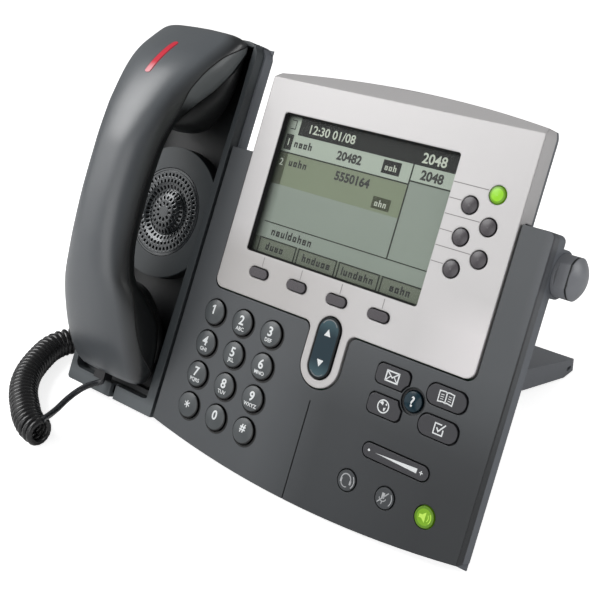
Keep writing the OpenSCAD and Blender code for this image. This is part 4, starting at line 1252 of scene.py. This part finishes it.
class Marks:
    def __init__(self, name, finish, body, height, at=(0, 0)):
        self.name, self.finish, self.body = name, finish, body
        self.height, self.at = height, at
        self.points, self.faces = [], []

    def fill(self, outline):
        start = len(self.points)
        self.points += outline
        self.faces.append(tuple(range(start, start + len(outline))))

    def stroke(self, line, width):
        """One strip along a line, mitred at its corners."""
        start = len(self.points)
        closed = line[0] == line[-1]
        line = [Vector(p) for p in line]
        for k, p in enumerate(line):
            before = line[k - 1] if k else (line[-2] if closed else None)
            after = line[k + 1] if k < len(line) - 1 else (line[1] if closed else None)
            ways = [(p - before).normalized()] if before is not None else []
            if after is not None:
                ways.append((after - p).normalized())
            way = sum(ways, Vector((0, 0))).normalized()
            side = Vector((-way.y, way.x))
            stretch = 1 / max(0.4, abs(side.dot(Vector((-ways[0].y, ways[0].x)))))
            self.points += [tuple(p + side * width / 2 * stretch), tuple(p - side * width / 2 * stretch)]
        for a in range(start, start + 2 * len(line) - 2, 2):
            self.faces.append((a, a + 1, a + 3, a + 2))

    def letters(self, text, u, v, size, weight=0.0):
        """Plain letters, with the middle of their box on a point."""
        words = bpy.data.curves.new("letters", "FONT")
        words.body = text
        words.size = size
        words.offset = weight
        words.resolution_u = 3
        made = bpy.data.objects.new("letters", words)
        bpy.context.scene.collection.objects.link(made)
        graph = bpy.context.evaluated_depsgraph_get()
        mesh = bpy.data.meshes.new_from_object(made.evaluated_get(graph))
        across = [p.co.x for p in mesh.vertices]
        up = [p.co.y for p in mesh.vertices]
        shift_u = u - (min(across) + max(across)) / 2
        shift_v = v - (min(up) + max(up)) / 2
        start = len(self.points)
        self.points += [(x + shift_u, y + shift_v) for x, y in zip(across, up)]
        self.faces += [tuple(start + k for k in f.vertices) for f in mesh.polygons]
        bpy.data.objects.remove(made)

    def make(self, slot=None, finest=None):
        """Lifts the marks onto their surface; finest cuts them up for a curved one."""
        work = bmesh.new()
        verts = [work.verts.new((u, v, 0)) for u, v in self.points]
        for face in self.faces:
            work.faces.new([verts[k] for k in face])
        work.normal_update()
        bmesh.ops.reverse_faces(work, faces=[f for f in work.faces if f.normal.z < 0])
        for _ in range(6 if finest else 0):
            bmesh.ops.triangulate(work, faces=[f for f in work.faces if len(f.verts) > 3])
            long = [e for e in work.edges if e.calc_length() > finest]
            if not long:
                break
            bmesh.ops.subdivide_edges(work, edges=long, cuts=1)
        for vert in work.verts:
            u, v = vert.co.x, vert.co.y
            vert.co = on_face(self.at[0] + u, self.at[1] + v, self.height(u, v))
        made = piece(self.name, [], [], self.finish)
        work.to_mesh(made.data)
        work.free()
        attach(made, self.body)
        return made


print("marks ready")

# %% [markdown]
# ## Dial legends
#
# Twelve domed keys carry a figure and, under it, its small letters. Flat text would sink into the
# dome in the middle or float at the edges, so these marks are cut into small faces, and each point
# is lifted to the height of the dome beneath it.

# %% Dial legends
FIGURES = ["1", "2", "3", "4", "5", "6", "7", "8", "9", "", "0", "#"]
LETTERS = ["", "ABC", "DEF", "GHI", "JKL", "MNO", "PQRS", "TUV", "WXYZ", "", "", ""]
STAR_R = 1.9
for k, name in enumerate(DIAL_NAMES):
    at = (DIAL_U + (k % 3) * DIAL_PU, DIAL_V - (k // 3) * DIAL_PV)
    legend = Marks(f"legend_{name}", PRINT, f"b_key_{name}", dome(1.8, 22.0), at)
    if name == "star":
        for turn in (30, 90, 150):
            legend.stroke(arc_points(0, 0.6, STAR_R, turn + 180, turn, steps=1), 0.6)
    else:
        legend.letters(FIGURES[k], 0, 1.4, 6.6 if name.isdigit() else 5.6, 0.16)
    if name == "1":
        legend.stroke([(-1.5, 2.5), (-0.1, 3.5)], 0.7)
    if LETTERS[k]:
        legend.letters(LETTERS[k], 0, -3.0, 2.7, 0.07)
    legend.make(finest=0.7)
print("dial legends", len(DIAL_NAMES))

# %% [markdown]
# ## Icons
#
# The keys on the right carry plain signs that any telephone has: an envelope, a globe, a question
# mark, a book, a ticked box, a headset, a crossed microphone, a loudspeaker and volume marks. A
# font of signs would be quicker, but not every computer has the same one. Each sign is a few
# strokes and fills, drawn round the middle of its key.

# %% Icons on the feature keys
ROW = 7.0


def icon(name, body, at, top, fills=(), strokes=(), arcs=(), finish=PRINT):
    marks = Marks(name, finish, body, level(top), at)
    for outline in fills:
        marks.fill(outline)
    for line, width in strokes:
        marks.stroke(line, width)
    for line, width in arcs:
        marks.stroke(arc_points(*line), width)
    return marks.make()


KEY_TOP = 0.7
envelope_lines = [
    ([(-3.3, -2.3), (3.3, -2.3), (3.3, 2.3), (-3.3, 2.3), (-3.3, -2.3)], 0.7),
    ([(-3.3, 2.3), (0, -0.4), (3.3, 2.3)], 0.6),
    ([(-3.3, -2.3), (-0.8, 0.3)], 0.5),
    ([(3.3, -2.3), (0.8, 0.3)], 0.5),
]
envelope_at = (HELP_U - 13.2, HELP_V + ROW)
icon("icon_envelope", "b_messages_key", envelope_at, KEY_TOP, strokes=envelope_lines)

lands = [
    [(-2.2, 1.2), (-0.4, 0.4), (-0.1, 1.6), (-0.9, 2.4)],
    [(0.3, -0.6), (1.5, -0.2), (1.1, -2.0), (0.4, -1.7)],
    [(0.8, 1.0), (1.9, 0.8), (1.4, 2.0)],
]
rim = [((0, 0, 2.9, 0, 360, 28), 0.6)]
icon("icon_globe", "b_services_key", (HELP_U - 13.5, HELP_V - ROW), KEY_TOP, fills=lands, arcs=rim)

book_lines = [([(0, -2.4), (0, 2.4)], 0.6)]
for side in (-1, 1):
    page = [(0, -2.4), (0.9, -2.0), (3.7, -2.4), (3.7, 2.4), (0.9, 2.7), (0, 2.4)]
    book_lines.append(([(side * u, v) for u, v in page], 0.55))
    book_lines += [([(side * 1.1, v), (side * 2.8, v - 0.1)], 0.3) for v in (-0.9, 0.1, 1.1)]
icon("icon_book", "b_directories_key", (HELP_U + 15.6, HELP_V + ROW), KEY_TOP, strokes=book_lines)

box_lines = [
    ([(2.3, 0.3), (2.3, -2.3), (-2.3, -2.3), (-2.3, 2.3), (1.2, 2.3)], 0.6),
    ([(-1.1, 0.6), (0, -0.9), (3.0, 2.8)], 0.65),
]
icon("icon_ticked_box", "b_settings_key", (HELP_U + 16.4, HELP_V - ROW), KEY_TOP, strokes=box_lines)

question = Marks("icon_question", PRINT, "b_help_key", dome(0.6, 20.0), (HELP_U, HELP_V))
question.letters("?", 0, 0, 6.6, 0.14)
question.make(finest=0.7)
print("feature icons drawn")

# %% Icons on the audio and rocker keys
AUDIO_TOP, SCROLL_TOP, VOLUME_TOP = 0.4, 1.5, 0.3
icon(
    "icon_headset",
    "b_headset_key",
    (AUDIO_U, AUDIO_V),
    AUDIO_TOP,
    fills=[rectangle(-3.4, -1.6, -2.4, 0.4), rectangle(1.7, -1.6, 2.7, 0.4)],
    arcs=[
        ((-0.4, 0.3, 2.6, -10, 190), 0.5),
        ((-0.4, -0.8, 2.4, 200, 300), 0.4),
        ((-0.4, 0, 4.4, -38, 38), 0.4),
    ],
    finish=GREY_PRINT,
)
icon(
    "icon_mute",
    "b_mute_key",
    (AUDIO_U + AUDIO_PU, AUDIO_V),
    AUDIO_TOP,
    strokes=[
        ([(-0.9, 2.2), (-0.9, -0.4)], 1.5),
        ([(-0.9, -1.7), (-0.9, -3.0)], 0.4),
        ([(-3.2, -2.8), (1.6, 2.8)], 0.5),
    ],
    arcs=[((-0.9, 0.1, 1.8, 190, 350), 0.4), ((-0.4, 0, 4.2, -38, 38), 0.4)],
    finish=GREY_PRINT,
)
icon(
    "icon_speaker",
    "b_speaker_key",
    (SPEAKER_KEY_U, AUDIO_V),
    AUDIO_TOP,
    fills=[
        [(-2.6, -0.8), (-1.2, -0.8), (0.6, -2.4), (0.6, 2.4)],
        [(-2.6, -0.8), (0.6, 2.4), (-1.2, 0.8), (-2.6, 0.8)],
    ],
    arcs=[((0, 0, 2.2, -40, 40), 0.4), ((0, 0, 3.4, -38, 38), 0.4)],
    finish=LIT_PRINT,
)
scroll_at = (SCROLL_U, SCROLL_V)
arrows = [[(-1.9, way * 5.8), (1.9, way * 5.8), (0, way * 9.2)] for way in (-1, 1)]
icon("icon_arrows", "scroll_rocker", scroll_at, SCROLL_TOP, fills=arrows)
# painted highlight: light arcs near the scroll key's ends stand for glints on its gloss
shine = [((0, 9.2, 4.5, 25, 155), 0.35), ((0, -9.2, 4.5, 215, 320), 0.25)]
icon("scroll_key_line", "scroll_rocker", scroll_at, SCROLL_TOP, arcs=shine, finish=LINE_PRINT)
icon(
    "icon_volume",
    "volume_rocker",
    (VOLUME_U, VOLUME_V),
    VOLUME_TOP,
    fills=[[(-11.0, -0.1), (11.8, -1.0), (11.8, 1.2)], arc_points(-14.4, 0, 0.6, 0, 342, 19)],
    strokes=[([(13.2, 0), (15.0, 0)], 0.45), ([(14.1, -0.9), (14.1, 0.9)], 0.45)],
)
print("audio icons drawn")

# %% [markdown]
# ## Bezel lines
#
# Fine engraved lines lead from the display's edge to the keys beside it, and short ticks to the
# four keys below. Grooves could be cut for them, but real ones are so shallow that only their
# colour shows, and a flat mark gives that without a cut.

# %% Bezel lines
BEZEL_N = 0.8
LINE_WIDTH = 0.4
LINE_KEY_GAP = 4.8
engraving = Marks("bezel_engraving", LINE_PRINT, "base", level(BEZEL_N))
for k in range(6):
    right = LINE_U - LINE_KEY_GAP + (LINE_DU if k % 2 == 0 else 0)
    v = LINE_V - k * LINE_DV + 1.2
    engraving.stroke([(LCD_L + LCD_W + 0.3, v), (right, v)], LINE_WIDTH)
for k in range(4):
    u = SOFT_U + k * SOFT_DU + 0.8
    engraving.stroke([(u, SOFT_V + 3.6), (u, LCD_B - 1.0)], LINE_WIDTH)
engraving.make("bezel")
print("engraved lines", len(engraving.faces))

# %% [markdown]
# ## Inside the display's opening
#
# The opening in the bezel is deep and its walls are black. A mask could paint them, but where it
# missed the edge by a hair it would smear the silver, so a thin funnel lines them.

# %% Display liner
LINER_INSET = 0.85
LINER_TOP, LINER_BOTTOM = 0.55, -1.45
points = []
for inset, n in ((0.05, LINER_TOP), (0.05 + LINER_INSET, LINER_BOTTOM)):
    corners = rectangle(LCD_L + inset, LCD_B + inset, LCD_L + LCD_W - inset, LCD_B + LCD_H - inset)
    points += [on_face(u, v, n) for u, v in corners]
faces = [(k, (k + 1) % 4, (k + 1) % 4 + 4, k + 4) for k in range(4)]
liner = piece("display_liner", points, faces, DARK)
wall = liner.modifiers.new("wall", "SOLIDIFY")
wall.thickness = 0.12 * MM
settle(liner)
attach(liner, "base")
print("liner", len(liner.data.polygons))

# %% [markdown]
# ## What the screen shows
#
# The panel's bands are painted in its finish. Its figures, and the letter-like shapes that stand
# for words, are flat marks just in front of it, because masks for so many strokes would take
# hundreds of nodes. The shapes are put together from seven strokes and spell nothing.

# %% Screen marks
LCD_N = -3.2
# the strokes of each letter-like shape, out of these:
# tall and short stems on the left and the right, the foot, the arch and the middle bar
SHAPES = {
    "o": ["left", "foot", "arch", "right"],
    "l": ["tall left"],
    "h": ["tall left", "arch", "right"],
    "n": ["left", "arch", "right"],
    "e": ["left", "foot", "arch", "right", "bar"],
    "u": ["left", "foot", "right"],
    "d": ["left", "foot", "arch", "tall right"],
}


def panel(u, v):
    return LCD_L + u * LCD_W, LCD_B + v * LCD_H


def word(marks, u, v, shapes, size, thick=0.82):
    """Letter-like shapes that spell nothing."""
    left, row = panel(u, v)
    low, middle, top, bar = row - size * 0.3, row + size * 0.2, row + size * 0.46, row - size * 0.08
    for shape in shapes:
        right = left + size * (0.12 if shape == "l" else 0.42)
        strokes = {
            "left": (left, low, left + thick, middle),
            "tall left": (left, low, left + thick, top),
            "right": (right - thick, low, right, middle),
            "tall right": (right - thick, low, right, top),
            "foot": (left, low, right, low + thick),
            "arch": (left, middle - thick, right, middle),
            "bar": (left, bar, right, bar + thick * 0.6),
        }
        for stroke in SHAPES[shape]:
            marks.fill(rectangle(*strokes[stroke]))
        left = right + size * 0.16


dark_marks = Marks("screen_figures", INK, "base", level(LCD_N))
pale_marks = Marks("screen_header", PALE_INK, "base", level(LCD_N))
for marks, u, v, text, size, weight in [
    (dark_marks, 0.41, 0.80, "20482", 6.0, 0.24),
    (dark_marks, 0.46, 0.665, "5550164", 6.0, 0.24),
    (dark_marks, 0.87, 0.81, "2048", 6.2, 0.24),
    (pale_marks, 0.28, 0.925, "12:30 01/08", 6.2, 0.1),
    (pale_marks, 0.86, 0.92, "2048", 6.8, 0.14),
    (pale_marks, 0.037, 0.805, "1", 5.0, 0.05),
    (pale_marks, 0.028, 0.66, "2", 5.0, 0.05),
]:
    marks.letters(text, *panel(u, v), size, weight)
for u, v, shapes, size in [
    (0.075, 0.80, "neoh", 5.2),
    (0.075, 0.665, "uohn", 5.2),
    (0.09, 0.168, "neuldohen", 5.4),
    (0.08, 0.058, "dueo", 5.2),
    (0.31, 0.058, "hnduoe", 5.2),
    (0.545, 0.058, "lundehn", 5.2),
    (0.82, 0.058, "eohn", 5.2),
]:
    word(dark_marks, u, v, shapes, size)
word(pale_marks, 0.615, 0.80, "eoh", 4.2, 0.6)
word(pale_marks, 0.615, 0.555, "ohn", 4.2, 0.6)
folder = [panel(0.025, 0.90), panel(0.055, 0.90), panel(0.055, 0.96), panel(0.025, 0.96)]
dark_marks.stroke(folder, 0.5)
for marks in (dark_marks, pale_marks):
    marks.make("lcd")
print("screen marks", len(dark_marks.faces), len(pale_marks.faces))

# %% [markdown]
# ## Floor and light
#
# A plain pale floor carries a soft shadow. One lamp would light it, but would leave the handset's
# underside black. Here a big lamp over the left shoulder does most of the lighting, one in front
# and one far left soften it, a small one behind the right shoulder draws the far edges, and the
# room fills the rest. The camera sees the floor and the room brighter than they shine, which keeps
# the backdrop near white without washing out the telephone.

# %% Floor
FLOOR_HALF = 3.0
corners = rectangle(-FLOOR_HALF, -FLOOR_HALF, FLOOR_HALF, FLOOR_HALF)
FLOOR_FINISH = Finish("floor", (0.8, 0.8, 0.8), 0.9)
floor = piece("floor", [(x, y, 0) for x, y in corners], [(0, 1, 2, 3)], FLOOR_FINISH)
is_camera_ray = FLOOR_FINISH.node("ShaderNodeLightPath", {})
glow = FLOOR_FINISH.node("ShaderNodeEmission", {}, Strength=0.8)
plain = Value(FLOOR_FINISH, FLOOR_FINISH.shader.outputs[0])
bright = FLOOR_FINISH.node("ShaderNodeAddShader", {}, plain, glow)
shown = FLOOR_FINISH.node("ShaderNodeMixShader", {}, is_camera_ray, plain, bright)
feed(FLOOR_FINISH.tree, FLOOR_FINISH.tree.nodes["Material Output"].inputs[0], shown)
print("floor ready")

# %% World and lamps
ROOM_STRENGTH, BACKDROP_STRENGTH = 0.18, 1.0
world = bpy.data.worlds.new("studio")
bpy.context.scene.world = world
world.use_nodes = True
tree = world.node_tree
tree.nodes.clear()
rays = tree.nodes.new("ShaderNodeLightPath")
choose = tree.nodes.new("ShaderNodeMixShader")
leave = tree.nodes.new("ShaderNodeOutputWorld")
feed(tree, choose.inputs[0], rays.outputs["Is Camera Ray"])
for slot, strength in ((1, ROOM_STRENGTH), (2, BACKDROP_STRENGTH)):
    light = tree.nodes.new("ShaderNodeBackground")
    light.inputs["Color"].default_value = (1, 1, 1, 1)
    light.inputs["Strength"].default_value = strength
    feed(tree, choose.inputs[slot], light.outputs[0])
feed(tree, leave.inputs[0], choose.outputs[0])
# name, place, height of the point it looks at, size, power
for name, place, target, size, power in [
    ("key_lamp", (-0.745, -0.625, 1.05), 0.1, 0.95, 10.0),
    ("front_lamp", (0.15, -1.4, 0.45), 0.1, 1.1, 5.0),
    ("left_lamp", (-1.10, -0.90, 0.72), 0.08, 1.4, 5.5),
    ("rim_lamp", (1.05, 0.45, 0.55), 0.1, 0.8, 4.6),
]:
    data = bpy.data.lights.new(name, "AREA")
    data.shape = "DISK"
    data.size = size
    data.energy = power
    lamp = bpy.data.objects.new(name, data)
    bpy.context.scene.collection.objects.link(lamp)
    lamp.location = place
    way = Vector((0, 0, target)) - Vector(place)
    lamp.rotation_euler = way.to_track_quat("-Z", "Y").to_euler()
bpy.context.scene.view_settings.view_transform = "Standard"
print("lamps", len(bpy.data.lights))
